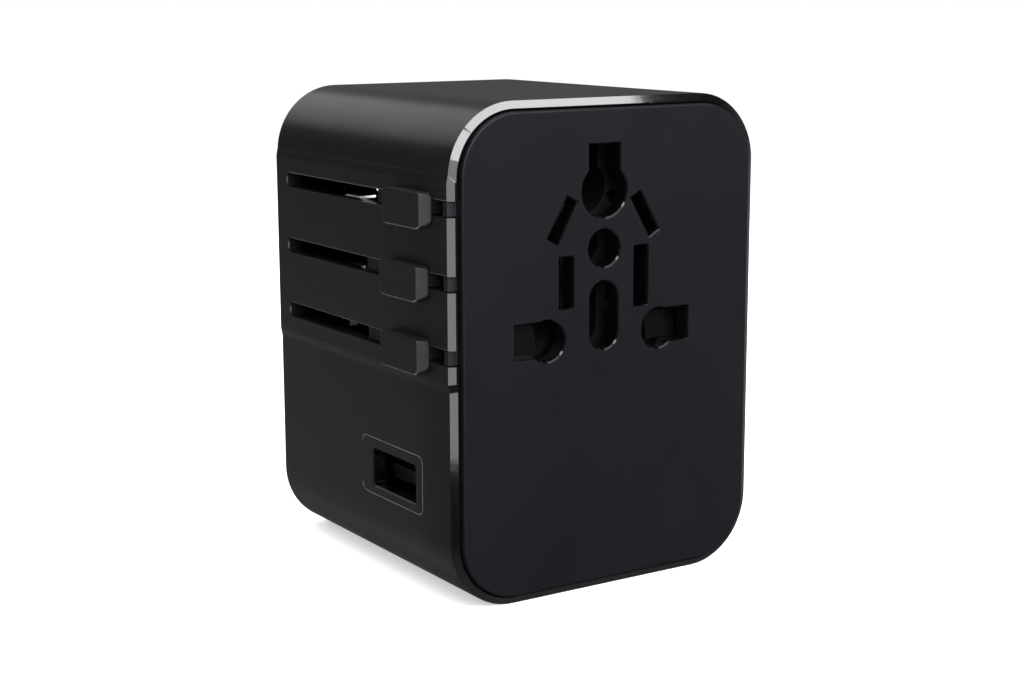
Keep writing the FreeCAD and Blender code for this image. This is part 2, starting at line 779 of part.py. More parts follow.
def make_rear_cover():
    body = new_body("rear_cover")
    inset = rear_rim + rear_gap
    add(body, "plug_plate", "XZ", cover_front, rear, rounded,
        left + inset, right - inset, inset, housing_height - inset, corner_radius - inset)
    add(body, "pin_guide", "XZ", guide_front, cover_front, rectangle,
        axis_across - block_neck_half, axis_across + block_neck_half, uk_bar_low, uk_top_high)
    remove(body, "drawer_window", "XZ", cover_front - over, rear + over, rectangle,
           drawer_across - drawer_width / 2 - drawer_gap, drawer_across + drawer_width / 2 + drawer_gap,
           drawer_low - drawer_gap, drawer_low + drawer_height + drawer_gap)

    def window(name, draw, *shape):
        remove(body, name + "_window", "XZ", guide_front - over, rear + over, draw, *shape)

    across_half = uk_pin_width / 2 + pin_clearance
    up_half = uk_pin_thickness / 2 + pin_clearance
    eu_window = eu_pin_radius + pin_clearance
    for name, side in (("left", -1), ("right", 1)):
        across = axis_across + uk_spacing * side / 2
        window("uk_" + name, rectangle, across - across_half, across + across_half,
               uk_row - up_half, uk_row + up_half)
        window("eu_" + name, circle, axis_across + eu_spacing * side / 2, eu_row, eu_window)
        window("us_" + name, circle, axis_across + us_spacing * side / 2, us_row, us_window)
    tall_half = uk_earth_length / 2 + pin_clearance
    window("uk_earth", rectangle, axis_across - up_half, axis_across + up_half,
           uk_row + uk_rise - tall_half, uk_row + uk_rise + tall_half)
    for number, (side, up) in enumerate(post_places()):
        remove(body, f"screw_sink_{number}", "XZ", cover_front - over, rear + over, circle,
               post_across * side, up, screw_head_radius + pin_clearance)
    keep(body, "rear_cover")


def make_screws():
    screws = []
    seat = cover_front
    top = seat + screw_head_height
    bottom = top - drive_depth
    long_half = drive_length / 2
    short_half = drive_width / 2
    for number, (side, up) in enumerate(post_places()):
        across = post_across * side
        head = rod(f"screw_head_{number}", "y", across, seat, up, screw_head_height, screw_head_radius)
        shank = rod(f"screw_shank_{number}", "y", across, seat - screw_length, up, screw_length, screw_radius)
        solid = plus(f"screw_solid_{number}", [head, shank])
        flat_bar = box(f"screw_flat_bar_{number}", across - long_half, across + long_half,
                       bottom, top + over, up - short_half, up + short_half)
        tall_bar = box(f"screw_tall_bar_{number}", across - short_half, across + short_half,
                       bottom, top + over, up - long_half, up + long_half)
        drive = plus(f"screw_drive_{number}", [flat_bar, tall_bar])
        screws.append(minus(f"screw_{number}", solid, drive))
    keep(group("screws", screws), "housing_screws")


def make_socket_block():
    body = new_body("socket_block")
    wide_left = axis_across - block_half
    wide_right = axis_across + block_half
    add(body, "block_solid", "XZ", block_front, block_back, polygon,
        [(wide_left, block_low), (wide_right, block_low), (wide_right, block_shoulder),
         (axis_across + block_neck_half, block_shoulder), (axis_across + block_neck_half, block_high),
         (axis_across - block_neck_half, block_high), (axis_across - block_neck_half, block_shoulder),
         (wide_left, block_shoulder)])
    for name, start, end in (("left", wide_left, wide_left + rail_width),
                             ("right", wide_right - rail_width, wide_right)):
        add(body, f"shutter_rail_{name}", "XZ", plate_back, block_front, rectangle,
            start, end, block_low, block_shoulder)
    add(body, "spring_leg", "XZ", block_front, block_front + seat_leg, rectangle,
        axis_across - seat_half, axis_across + seat_half, seat_low, block_low + over)
    add(body, "spring_seat", "XZ", plate_back, block_front + seat_leg, rectangle,
        axis_across - seat_half, axis_across + seat_half, seat_low, seat_low + seat_thickness)

    def cavity(name, back, draw, *shape):
        remove(body, name + "_cavity", "XZ", block_front - over, back, draw, *shape)

    through = block_back + over
    floor = block_back - cavity_floor
    metal = jaw_room + sheet_metal + cavity_gap
    for name, side in (("left", -1), ("right", 1)):
        cavity("line_" + name, through, rectangle,
               *across_span(side, shutter_inner + jaw_room, square_reach + metal),
               round_up - round_radius - metal, round_up + round_radius + metal)
        across = axis_across + flat_spacing * side / 2
        across_half = flat_width / 2 + metal
        up_half = flat_right_height / 2 + end_room
        cavity("flat_" + name, through, rectangle, across - across_half, across + across_half,
               flat_up - up_half, flat_up + up_half)
        outer = slant_width / 2 + metal
        inner = slant_width / 2 + jaw_room
        spread = (-outer, inner) if side < 0 else (-inner, outer)
        long_half = slant_length / 2 + jaw_room
        cavity("slanted_" + name, through, slanted_rectangle,
               axis_across + slant_spacing * side / 2, slant_up, slant_angle * -side,
               *spread, -long_half, long_half)
    cavity("earth_round", floor, circle, axis_across, earth_up, earth_radius + end_room)
    cavity("earth_square", floor, rectangle, axis_across - earth_width / 2 - end_room,
           axis_across + earth_width / 2 + end_room, earth_up, earth_top + end_room)
    cavity("centre", floor, circle, axis_across, centre_up, centre_radius + end_room)
    cavity("pill", floor, upright_pill, axis_across, pill_width + end_room * 2,
           pill_low - end_room, pill_high + end_room)
    keep(body, "socket_block")


def make_shutter():
    body = new_body("safety_shutter")
    half = block_half - rail_width - shutter_gap
    back = block_front - shutter_gap
    face = back - shutter_thickness
    corners = [(-half, shutter_low), (half, shutter_low), (half, shutter_high), (shutter_inner, shutter_high),
               (shutter_inner, shutter_link_high), (-shutter_inner, shutter_link_high),
               (-shutter_inner, shutter_high), (-half, shutter_high)]
    add(body, "shutter_plate", "XZ", face, back, polygon,
        [(axis_across + across, up) for across, up in corners])
    ramp_low = square_up - square_height / 2
    ramp_high = square_up + square_height / 2
    for name, side in (("left", -1), ("right", 1)):
        add(body, f"shutter_ramp_{name}", "YZ", *across_span(side, round_spacing / 2, square_reach), polygon,
            [(face, ramp_low), (face - ramp_depth, ramp_low), (face, ramp_high)])
    keep(body, "safety_shutter")


def make_shutter_spring():
    # A bent strip: its middle stands on the seat and its two arms reach up to the shutter.
    body = new_body("shutter_spring")
    foot = seat_low + seat_thickness + fine_gap
    tip = shutter_low - fine_gap
    elbow = spring_inset - spring_strip
    corners = [(-spring_inset, foot), (spring_inset, foot),
               (spring_half, tip), (spring_half - spring_tip, tip),
               (elbow, foot + spring_strip), (-elbow, foot + spring_strip),
               (-spring_half + spring_tip, tip), (-spring_half, tip)]
    back = block_front - shutter_gap
    add(body, "spring_strip", "XZ", back - shutter_thickness, back, polygon,
        [(axis_across + across, up) for across, up in corners])
    keep(body, "shutter_spring")


def make_contact(node, side):
    # Jaws for the round, flat and slanted pins, a spine behind the block and strips along the lanes.
    body = new_body(node)
    start = block_front + jaw_setback
    outer = square_reach + jaw_room + sheet_metal
    bend = outer - sheet_metal
    low = round_up - round_radius - jaw_room - sheet_metal
    channel = [(jaw_inner, low), (outer, low), (outer, strip_top), (jaw_inner, strip_top),
               (jaw_inner, strip_bottom), (bend, strip_bottom), (bend, low + sheet_metal),
               (jaw_inner, low + sheet_metal)]
    add(body, node + "_round_jaw", "XZ", start, spine_back, polygon,
        [(axis_across + distance * side, up) for distance, up in channel])

    def plate(name, begin, end, near, far, bottom, top):
        add(body, f"{node}_{name}", "XZ", begin, end, rectangle, *across_span(side, near, far), bottom, top)

    near = flat_spacing / 2 - flat_width / 2 - jaw_room - sheet_metal
    far = flat_spacing / 2 + flat_width / 2 + jaw_room + sheet_metal
    jaw_low = flat_up - flat_right_height / 2
    jaw_high = flat_up + flat_right_height / 2
    plate("spine", block_back, spine_back, near, far, strip_bottom, jaw_high)
    plate("spine_link", block_back, spine_back,
          jaw_inner - sheet_metal, jaw_inner + sheet_metal, strip_bottom, strip_top)
    plate("flat_jaw_near", start, spine_back, near, near + sheet_metal, jaw_low, jaw_high)
    plate("flat_jaw_far", start, spine_back, far - sheet_metal, far, jaw_low, jaw_high)
    plate("lane_strip", block_back, rail_strip_end,
          jaw_inner, jaw_inner + rail_strip_width, strip_bottom, strip_top)
    inner_face = slant_width / 2 + jaw_room
    if side < 0:
        spread = (-inner_face - sheet_metal, -inner_face)
        ends = (us_live_rail_start, us_live_rail_start + rail_strip_width)
        heights = (us_live_rail_up, us_live_rail_up + sheet_metal)
    else:
        spread = (inner_face, inner_face + sheet_metal)
        ends = (us_neutral_rail_across, us_neutral_rail_across + sheet_metal)
        heights = (us_bar_low, us_neutral_rail_high)
    plate("spine_branch", block_back, spine_back, far - sheet_metal, ends[1], jaw_high - over, heights[1])
    plate("flat_strip", block_back, rail_strip_end, *ends, *heights)
    add(body, node + "_slanted_jaw", "XZ", start, spine_back, slanted_rectangle,
        axis_across + slant_spacing * side / 2, slant_up, slant_angle * -side,
        *spread, -slant_length / 2, slant_length / 2)
    keep(body, node)


def knob_start(name):
    start = front + knob_front
    if name == "us":
        return start
    return start + knob_setback


def add_arm(body, name):
    add(body, name + "_arm", "XZ", knob_start(name) + neck_inset, carrier_back, rectangle,
        arm_left, arm_right, slots[name] - arm_height / 2, slots[name] + arm_height / 2)


def make_us_carrier():
    body = new_body("us_carrier")
    add_arm(body, "us")
    hub_left = axis_across - us_spacing / 2
    hub_right = axis_across + us_spacing / 2
    add(body, "us_web", "XZ", carrier_front, carrier_back, rectangle,
        arm_right - arm_thickness / 2, hub_left, us_bar_low, us_web_high)
    add(body, "us_bar", "XZ", carrier_front, carrier_back, rectangle,
        hub_left - over, hub_right + hub_radius, us_bar_low, us_bar_high)
    add(body, "us_neck", "XZ", carrier_front, carrier_back, rectangle,
        hub_right - hub_radius, hub_right + hub_radius, us_bar_low, us_row)
    for name, across in (("left", hub_left), ("right", hub_right)):
        add(body, f"us_hub_{name}", "XZ", carrier_front, carrier_back, circle, across, us_row, hub_radius)
    for name, across in (("left", hub_left), ("right", hub_right)):
        remove(body, f"us_hub_bore_{name}", "XZ", carrier_front + hub_floor, carrier_back + over, circle,
               across, us_row, hub_bore)
        remove(body, f"us_stub_hole_{name}", "XZ", carrier_front - over, carrier_back, circle,
               across, us_row, stub_radius + turn_clearance)
    keep(body, "us_carrier")


def make_us_blade(node, side):
    # A flat blade on a round base that turns in the carrier's hub, held by the riveted end of its stub.
    body = new_body(node)
    across = axis_across + us_spacing * side / 2
    disc_front = carrier_front + hub_floor + turn_clearance
    rivet_back = carrier_front - rivet_gap
    rivet_front = rivet_back - rivet_height
    add(body, node + "_disc", "XZ", disc_front, carrier_back, circle,
        across, us_row, hub_bore - turn_clearance)
    add(body, node + "_stub", "XZ", rivet_front, disc_front, circle, across, us_row, stub_radius)
    add(body, node + "_rivet", "XZ", rivet_front, rivet_back, circle, across, us_row, rivet_radius)
    tip = rear + us_reach - travel
    thin = us_blade_thickness / 2
    tall = us_blade_width / 2
    blade = add(body, node + "_blade", "XZ", carrier_back, tip, rectangle,
                across - thin, across + thin, us_row - tall, us_row + tall)
    document.recompute()
    bevel_edges(body, node + "_tip", blade, edges_on(blade, 1, tip), pin_bevel)
    remove(body, node + "_hole", "YZ", across - thin - over, across + thin + over, circle,
           tip - us_hole_setback, us_row, us_blade_hole)
    keep(body, node)


def make_eu_carrier():
    body = new_body("eu_carrier")
    add_arm(body, "eu")
    add(body, "eu_bar", "XZ", carrier_front, carrier_back, rectangle, arm_right - arm_thickness / 2,
        axis_across + eu_spacing / 2 + eu_bar_end, eu_row - eu_bar_half, eu_row + eu_bar_half)
    for name, side in (("left", -1), ("right", 1)):
        remove(body, f"eu_pin_seat_{name}", "XZ", carrier_back - pin_seat, carrier_back + over, circle,
               axis_across + eu_spacing * side / 2, eu_row, eu_pin_radius + fine_gap)
    keep(body, "eu_carrier")


def make_eu_pin(node, side):
    body = new_body(node)
    across = axis_across + eu_spacing * side / 2
    collar_end = carrier_back + eu_collar_length
    tip = rear + eu_reach - travel
    add(body, node + "_root", "XZ", carrier_back - pin_seat, carrier_back, circle,
        across, eu_row, eu_pin_radius)
    add(body, node + "_core", "XZ", carrier_back, collar_end, circle, across, eu_row, eu_core_radius)
    bare = add(body, node + "_bare", "XZ", collar_end, tip, circle, across, eu_row, eu_pin_radius)
    document.recompute()
    round_edges(body, node + "_tip", bare, edges_on(bare, 1, tip), eu_tip_radius)
    keep(body, node)


def make_eu_collars():
    collars = []
    for name, side in (("left", -1), ("right", 1)):
        across = axis_across + eu_spacing * side / 2
        collars.append(tube(f"eu_collar_{name}", "y", across, carrier_back, eu_row,
                            eu_collar_length - fine_gap, eu_pin_radius, eu_core_radius + fine_gap))
    keep(group("eu_collars", collars), "eu_pin_collars")


def make_uk_carrier():
    body = new_body("uk_carrier")
    add_arm(body, "uk")
    half = uk_pin_thickness / 2
    earth_low = uk_row + uk_rise - uk_earth_length / 2
    add(body, "uk_bar", "XZ", carrier_front, carrier_back, rectangle,
        arm_right - arm_thickness / 2, uk_column_right, uk_bar_low, uk_bar_high)
    add(body, "uk_column", "XZ", carrier_front, carrier_back, rectangle,
        uk_column_right - uk_column_width, uk_column_right, uk_bar_low, uk_top_high)
    add(body, "uk_top", "XZ", carrier_front, carrier_back, rectangle,
        axis_across - half, uk_column_right, uk_top_low, uk_top_high)
    add(body, "uk_hanger", "XZ", carrier_front, carrier_front + hanger_thickness, rectangle,
        axis_across - half, axis_across + half, earth_low, uk_top_high)
    across_half = uk_pin_width / 2 + fine_gap
    for name, side in (("left", -1), ("right", 1)):
        across = axis_across + uk_spacing * side / 2
        remove(body, f"uk_pin_seat_{name}", "XZ", carrier_back - pin_seat, carrier_back + over, rectangle,
               across - across_half, across + across_half, uk_row - half - fine_gap, uk_row + half + fine_gap)
    keep(body, "uk_carrier")


def make_uk_pin(node, across, up, start, width, height):
    body = new_body(node)
    tip = rear + uk_reach - travel
    pin = add(body, node + "_bar", "XZ", start, tip, rectangle,
              across - width / 2, across + width / 2, up - height / 2, up + height / 2)
    document.recompute()
    bevel_edges(body, node + "_tip", pin, edges_on(pin, 1, tip), uk_pin_bevel)
    keep(body, node)


def make_knob(name):
    # The block outside the band has a slanted front and a larger radius at its lower front corner.
    # A neck goes through the slot to the carrier's arm, and a tail fills the slot behind it.
    node = name + "_knob"
    body = new_body(node)
    start = knob_start(name)
    end = start + knob_length
    up = slots[name]
    middle = up - knob_drop
    outer = band_left - knob_proud
    inner = band_left - knob_lift
    low = middle - knob_height / 2
    high = middle + knob_height / 2
    block = add(body, node + "_block", "YZ", outer, inner, rectangle, start, end, low, high)
    for part, deep, level, radius in (("front_low", start, low, knob_front_corner),
                                      ("front_high", start, high, knob_corner),
                                      ("rear_low", end, low, knob_corner),
                                      ("rear_high", end, high, knob_corner)):
        document.recompute()
        corner = set(edges_on(block, 1, deep)) & set(edges_on(block, 2, level))
        block = round_edges(body, f"{node}_{part}", block, sorted(corner), radius)
    slant = remove(body, node + "_slant", "XY", low - over, high + over, polygon,
                   [(inner, start - over), (inner, start), (outer, start + knob_slant),
                    (outer - over, start + knob_slant), (outer - over, start - over)])
    document.recompute()
    round_edges(body, node + "_edge", slant, edges_on(slant, 0, outer), knob_edge)
    half = slot_height / 2 - neck_clearance
    add(body, node + "_neck", "YZ", inner, inner_left, rectangle,
        start + neck_inset, end - neck_inset, up - half, up + half)
    add(body, node + "_root", "YZ", inner_left, arm_left, rectangle,
        start + neck_inset, end - neck_inset, up, up + half)
    tail = us_tail_end if name == "us" else tail_end
    add(body, node + "_tail", "YZ", band_left + tail_recess, inner_left - tail_gap, rectangle,
        end - neck_inset - over, tail, up - half, up + half)
    keep(body, node)


def make_click_strip(name, near, bend, far, rise, sag, tip):
    # A bent strip fixed behind the slot, below the path of the knob's root.
    body = new_body(name + "_click_strip")
    up = slots[name]
    start = inner_left + strip_gap
    corners = [(near, up + rise), (bend, up + sag), (far, up + tip), (far, up + tip - strip_thickness),
               (bend, up + sag - strip_thickness), (near, up + rise - strip_thickness)]
    add(body, name + "_strip", "YZ", start, start + strip_width, polygon, corners)
    keep(body, name + "_click_strip")


def make_wipers():
    # Small blocks on the carriers that brush the collector strips.
    y_start = (carrier_front + carrier_back - wiper_length) / 2
    y_end = y_start + wiper_length
    live_ends = across_span(-1, us_live_rail_start + wiper_inset,
                            us_live_rail_start + rail_strip_width - wiper_inset)
    live = box("us_wiper_live", *live_ends, y_start, y_end, us_web_high, us_live_rail_up - wiper_gap)
    us_right = axis_across + us_spacing / 2 + hub_radius
    neutral = box("us_wiper_neutral", us_right, axis_across + us_neutral_rail_across - wiper_gap,
                  y_start, y_end, us_bar_low + wiper_gap, us_bar_high)
    keep(group("us_wiper_pair", [live, neutral]), "us_wipers")
    for name, low, high in (("eu", strip_top + wiper_gap, eu_row - eu_bar_half),
                            ("uk", uk_bar_high, strip_bottom - wiper_gap)):
        pair = []
        for part, side in (("live", -1), ("neutral", 1)):
            ends = across_span(side, jaw_inner + wiper_inset, jaw_inner + rail_strip_width - wiper_inset)
            pair.append(box(f"{name}_wiper_{part}", *ends, y_start, y_end, low, high))
        keep(group(name + "_wiper_pair", pair), name + "_wipers")


def make_usb_port():
    shell_left = inner_left + shell_gap
    shell_right = shell_left + shell_depth
    body = new_body("usb_shell")
    add(body, "usb_can", "YZ", shell_left, shell_right, rounded,
        usb_near - shell_metal, usb_far + shell_metal,
        usb_low - shell_metal, usb_high + shell_metal, usb_corner + shell_metal)
    remove(body, "usb_can_hollow", "YZ", shell_left - over, shell_right - shell_metal, rounded,
           usb_near, usb_far, usb_low, usb_high, usb_corner)
    for name, start in (("front", shell_left + shell_leg_inset),
                        ("back", shell_right - shell_leg_inset - shell_leg)):
        add(body, f"usb_leg_{name}", "XY", board_high, usb_low - shell_metal / 2, rectangle,
            start, start + shell_leg, usb_near + shell_leg, usb_far - shell_leg)
    keep(body, "usb_shell")

    tongue = new_body("usb_tongue")
    middle = (usb_near + usb_far) / 2
    low = usb_low + tongue_rise
    back = shell_right - shell_metal - fine_gap
    add(tongue, "tongue_block", "YZ", back - tongue_root, back, rectangle,
        usb_near + usb_corner, usb_far - usb_corner, usb_low + fine_gap, usb_high - fine_gap)
    add(tongue, "tongue_blade", "YZ", shell_left + tongue_setback, back - tongue_root, rectangle,
        middle - tongue_width / 2, middle + tongue_width / 2, low, low + tongue_thickness)
    keep(tongue, "usb_tongue")

    strips = []
    for number in range(4):
        along = middle + contact_pitch * (number - 1.5)
        strips.append(box(f"usb_contact_{number}", shell_left + tongue_setback * 2, back - tongue_root,
                          along - contact_width / 2, along + contact_width / 2,
                          low + tongue_thickness, low + tongue_thickness + contact_thickness))
    keep(group("usb_contact_row", strips), "usb_contacts")


def make_charger():
    keep(box("board", -board_half, board_half, board_near, board_far, board_low, board_high), "charger_board")
    tray = new_body("board_tray")
    floor = wall + seat_gap
    add(tray, "tray_profile", "XZ", board_near, board_far, polygon,
        [(-tray_half, floor), (tray_half, floor), (tray_half, board_low), (tray_half - tray_wall, board_low),
         (tray_half - tray_wall, floor + tray_floor), (-tray_half + tray_wall, floor + tray_floor),
         (-tray_half + tray_wall, board_low), (-tray_half, board_low)])
    keep(tray, "board_tray")

    end = transformer_left + transformer_width
    middle = transformer_near + transformer_depth / 2
    top = board_high + transformer_height
    core = new_body("transformer_core")
    add(core, "core_frame", "XZ", middle - core_depth / 2, middle + core_depth / 2, rectangle,
        transformer_left, end, board_high, top)
    remove(core, "core_window", "XZ", middle - core_depth, middle + core_depth, rectangle,
           transformer_left + core_limb, end - core_limb, board_high + core_limb, top - core_limb)
    keep(core, "transformer_core")
    inset = core_limb + winding_gap
    winding = box("winding", transformer_left + inset, end - inset,
                  transformer_near, transformer_near + transformer_depth, board_high + inset, top - inset)
    keep(winding, "transformer_winding")
    bulk_height = block_low - bulk_room - board_high
    bulk = rod("bulk_can", "z", bulk_across, bulk_along, board_high, bulk_height, bulk_radius)
    keep(bulk, "bulk_capacitor")
    output = rod("output_can", "z", output_across, output_along, board_high, output_height, output_radius)
    keep(output, "output_capacitor")
    chip = box("chip", chip_across - chip_length / 2, chip_across + chip_length / 2,
               chip_along - chip_width / 2, chip_along + chip_width / 2, board_high, board_high + chip_height)
    keep(chip, "controller_chip")


def make_fuse():
    start = rear - drawer_length
    half = drawer_width / 2
    high = drawer_low + drawer_height
    floor = drawer_low + drawer_wall
    body = new_body("fuse_drawer")
    add(body, "drawer_solid", "XZ", start, rear, rectangle,
        drawer_across - half, drawer_across + half, drawer_low, high)
    tray_left = drawer_across - half + drawer_wall
    tray_right = drawer_across + half - drawer_wall
    remove(body, "drawer_tray", "XZ", start + drawer_wall, rear - drawer_front, rectangle,
           tray_left, tray_right, floor, high + over)
    remove(body, "drawer_notch", "XZ", start - over, start + drawer_wall + over, rectangle,
           tray_left, tray_right, floor + fuse_cap_radius, high + over)
    grip_middle = drawer_low + drawer_height / 2
    remove(body, "drawer_grip", "XZ", rear - drawer_grip, rear + over, rectangle,
           drawer_across - grip_width / 2, drawer_across + grip_width / 2,
           grip_middle - grip_height / 2, grip_middle + grip_height / 2)
    keep(body, "fuse_drawer")

    up = floor + fine_gap + fuse_cap_radius
    fuse_start = start + drawer_wall + fuse_end_gap
    fuse_end = fuse_start + fuse_length
    glass = rod("fuse_tube", "y", drawer_across, fuse_start + fuse_cap_length, up,
                fuse_length - fuse_cap_length * 2, fuse_radius)
    keep(glass, "fuse_glass")
    caps = []
    clips = []
    for number, cap_start in enumerate((fuse_start, fuse_end - fuse_cap_length)):
        caps.append(rod(f"fuse_cap_{number}", "y", drawer_across, cap_start, up,
                        fuse_cap_length, fuse_cap_radius))
        clip_start = cap_start + (fuse_cap_length - clip_length) / 2
        clips.append(box(f"fuse_clip_{number}",
                         drawer_across - clip_width / 2, drawer_across + clip_width / 2,
                         clip_start, clip_start + clip_length,
                         up + fuse_cap_radius + clip_gap, high + drawer_gap + chute_room))
    keep(group("fuse_cap_pair", caps), "fuse_caps")
    keep(group("fuse_clip_pair", clips), "fuse_clips")


make_sleeve()
make_front_cover()
make_rear_cover()
make_posts()
make_drawer_chute()
make_screws()
make_socket_block()
make_shutter()
make_shutter_spring()
make_contact("live_contact", -1)
make_contact("neutral_contact", 1)
make_us_carrier()
make_us_blade("us_blade_left", -1)
make_us_blade("us_blade_right", 1)
make_eu_carrier()
make_eu_pin("eu_pin_left", -1)
make_eu_pin("eu_pin_right", 1)
make_eu_collars()
make_uk_carrier()
for pin, side in (("uk_neutral_pin", -1), ("uk_live_pin", 1)):
    make_uk_pin(pin, axis_across + uk_spacing * side / 2, uk_row, carrier_back - pin_seat,
                uk_pin_width, uk_pin_thickness)
make_uk_pin("uk_earth_pin", axis_across, uk_row + uk_rise, carrier_front + hanger_thickness,
            uk_pin_thickness, uk_earth_length)
for slider in slots:
    make_knob(slider)
make_click_strip("us", us_strip_near, us_strip_bend, us_strip_far, us_strip_rise, us_strip_sag, us_strip_tip)
make_click_strip("eu", eu_strip_near, eu_strip_bend, eu_strip_far, eu_strip_rise, eu_strip_sag, eu_strip_tip)
make_wipers()
make_usb_port()
make_charger()
make_fuse()
document.recompute()

for item in document.Objects:
    if "Invalid" in item.State or "Error" in item.State:
        raise RuntimeError(f"{item.Name} did not recompute")
for pocket in cuts:
    if pocket.Shape.Volume > pocket.BaseFeature.Shape.Volume - 0.0001:
        raise RuntimeError(f"{pocket.Name} cuts nothing")
for item in nodes:
    if item.Shape.isNull() or not item.Shape.isValid():
        raise RuntimeError(f"{item.Label} has no valid shape")

os.makedirs("parts", exist_ok=True)
for item in nodes:
    item.Shape.exportStep(f"parts/{item.Label}.step")
    print(item.Label, len(item.Shape.Solids), round(item.Shape.Volume, 1))
print(len(nodes), "nodes")
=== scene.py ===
import math

import bmesh
import bpy
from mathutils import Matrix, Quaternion, Vector


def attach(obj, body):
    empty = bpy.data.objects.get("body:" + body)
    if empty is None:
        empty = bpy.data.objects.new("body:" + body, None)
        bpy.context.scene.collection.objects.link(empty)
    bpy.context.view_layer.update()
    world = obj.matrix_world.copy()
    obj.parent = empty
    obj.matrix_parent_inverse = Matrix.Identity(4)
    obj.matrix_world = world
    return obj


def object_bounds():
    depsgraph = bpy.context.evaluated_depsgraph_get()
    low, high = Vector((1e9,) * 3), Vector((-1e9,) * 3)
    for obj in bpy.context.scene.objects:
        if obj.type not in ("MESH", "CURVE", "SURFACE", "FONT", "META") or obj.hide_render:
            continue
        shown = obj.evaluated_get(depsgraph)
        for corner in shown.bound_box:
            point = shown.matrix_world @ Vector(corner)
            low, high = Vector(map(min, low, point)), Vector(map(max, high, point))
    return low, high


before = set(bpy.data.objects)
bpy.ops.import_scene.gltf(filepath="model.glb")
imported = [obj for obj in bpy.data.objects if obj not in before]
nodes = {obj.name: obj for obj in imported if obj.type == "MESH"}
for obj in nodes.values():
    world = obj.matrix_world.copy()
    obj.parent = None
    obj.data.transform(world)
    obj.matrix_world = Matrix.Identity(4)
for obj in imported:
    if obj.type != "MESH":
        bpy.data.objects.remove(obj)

cadLow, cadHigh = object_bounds()
mm = 0.001
knobNames = ("us_knob", "eu_knob", "uk_knob")
pinNames = ("us_blade_left", "us_blade_right", "eu_pin_left", "eu_pin_right", "uk_live_pin",
            "uk_neutral_pin", "uk_earth_pin")
print("frame loaded:", len(nodes), "nodes")


# Small helpers

def toLinear(hexCode):
    shares = [int(hexCode[i:i + 2], 16) / 255 for i in (1, 3, 5)]
    return [c / 12.92 if c <= 0.04045 else ((c + 0.055) / 1.055) ** 2.4 for c in shares] + [1.0]


def addNode(tree, kind, settings=None, links=None):
    # Settings are the node's properties, or values of its inputs by name or number. Links feed
    # inputs, each from a node's first outlet or from the outlet that (node, outlet) names. Inputs
    # 6 and 7 of a Mix node are its two colours, and 2 and 3 its two plain values.
    node = tree.nodes.new("ShaderNode" + kind)
    for name, value in (settings or {}).items():
        if isinstance(name, str) and hasattr(node, name):
            setattr(node, name, value)
        else:
            node.inputs[name].default_value = value
    for name, source in (links or {}).items():
        outlet = source[0].outputs[source[1]] if isinstance(source, tuple) else source.outputs[0]
        tree.links.new(outlet, node.inputs[name])
    return node


def newMaterial(name, colour):
    material = bpy.data.materials.new(name)
    material.use_nodes = True
    material.diffuse_color = toLinear(colour)
    tree = material.node_tree
    tree.nodes.clear()
    place = (addNode(tree, "TexCoord"), "Object")
    return material, tree, place


def patternedSurface(tree, look, pattern, first, second, depth):
    # A pattern mixes two colours and stands out a little. The roughness is the same all over.
    colour = addNode(tree, "Mix", {"data_type": "RGBA", 6: toLinear(first), 7: toLinear(second)},
                     {0: pattern["share"]})
    bump = addNode(tree, "Bump", {"Strength": 1, "Distance": depth * mm},
                   {"Height": pattern["height"]})
    shader = addNode(tree, "BsdfPrincipled", {"Roughness": look["roughness"], "IOR": look["ior"]},
                     {"Base Color": (colour, 2), "Normal": bump})
    addNode(tree, "OutputMaterial", None, {"Surface": shader})


def dress(material, *names):
    # Puts one material on whole CAD nodes.
    for name in names:
        mesh = nodes[name].data
        mesh.materials.clear()
        mesh.materials.append(material)


def softenBand(tree, place, edge, look):
    # The raised band runs into the side without a crisp line, so the edges near its two heights
    # are rounded far more.
    height = (addNode(tree, "SeparateXYZ", None, {0: place}), 2)
    added = (look["softRadius"] - look["edgeRadius"]) * mm
    radius = addNode(tree, "Value")
    radius.outputs[0].default_value = look["edgeRadius"] * mm
    for middle in look["softened"]:
        off = addNode(tree, "Math", {"operation": "SUBTRACT", 1: middle * mm}, {0: height})
        off = addNode(tree, "Math", {"operation": "ABSOLUTE"}, {0: off})
        near = addNode(tree, "MapRange", {"From Min": look["softFrom"] * mm,
                                          "From Max": look["softFull"] * mm, "To Max": added},
                       {"Value": off})
        radius = addNode(tree, "Math", {"operation": "ADD"}, {0: near, 1: radius})
    tree.links.new(radius.outputs[0], edge.inputs["Radius"])


def easeFront(tree, place, edge, look):
    # The side turns inwards a little over its last millimetres before the rim, though the top
    # doesn't.
    spot = addNode(tree, "SeparateXYZ", None, {0: place})
    start, end = look["easeFrom"] * mm, (look["easeFrom"] - look["easeLength"]) * mm
    near = addNode(tree, "MapRange", {"From Min": start, "From Max": end}, {"Value": (spot, 1)})
    below = addNode(tree, "MapRange", {"From Min": look["easeTop"] * mm,
                                       "From Max": look["easeFull"] * mm}, {"Value": (spot, 2)})
    square = addNode(tree, "Math", {"operation": "MULTIPLY"}, {0: near, 1: near})
    fall = addNode(tree, "Math", {"operation": "MULTIPLY"}, {0: square, 1: below})
    return addNode(tree, "Bump", {"invert": True, "Strength": 1, "Distance": look["easeDrop"] * mm},
                   {"Height": fall, "Normal": edge})


# Moulded plastics. Lengths are in millimetres. The mould's spark-eroded grain is 0.05 to 0.1 mm on
# the real thing; it is drawn about three times as coarse, so that it shows at about 0.14 mm a
# pixel. A range of roughness lies wholly above or wholly below 0.274: the render's denoiser leaves
# marks like cracks where a surface crosses that value.

noiseLow, noiseHigh = 0.3, 0.7     # most of a noise texture's values lie between these
# The paleness of every moulded plastic's rounded edges is partly wear and partly painted highlight.
wearAndHighlightStart, wearAndHighlightFull = 0.995, 0.8     # cosines between the normals of a face and its rounded edge
palest = 0.35                      # the largest share of the pale tone


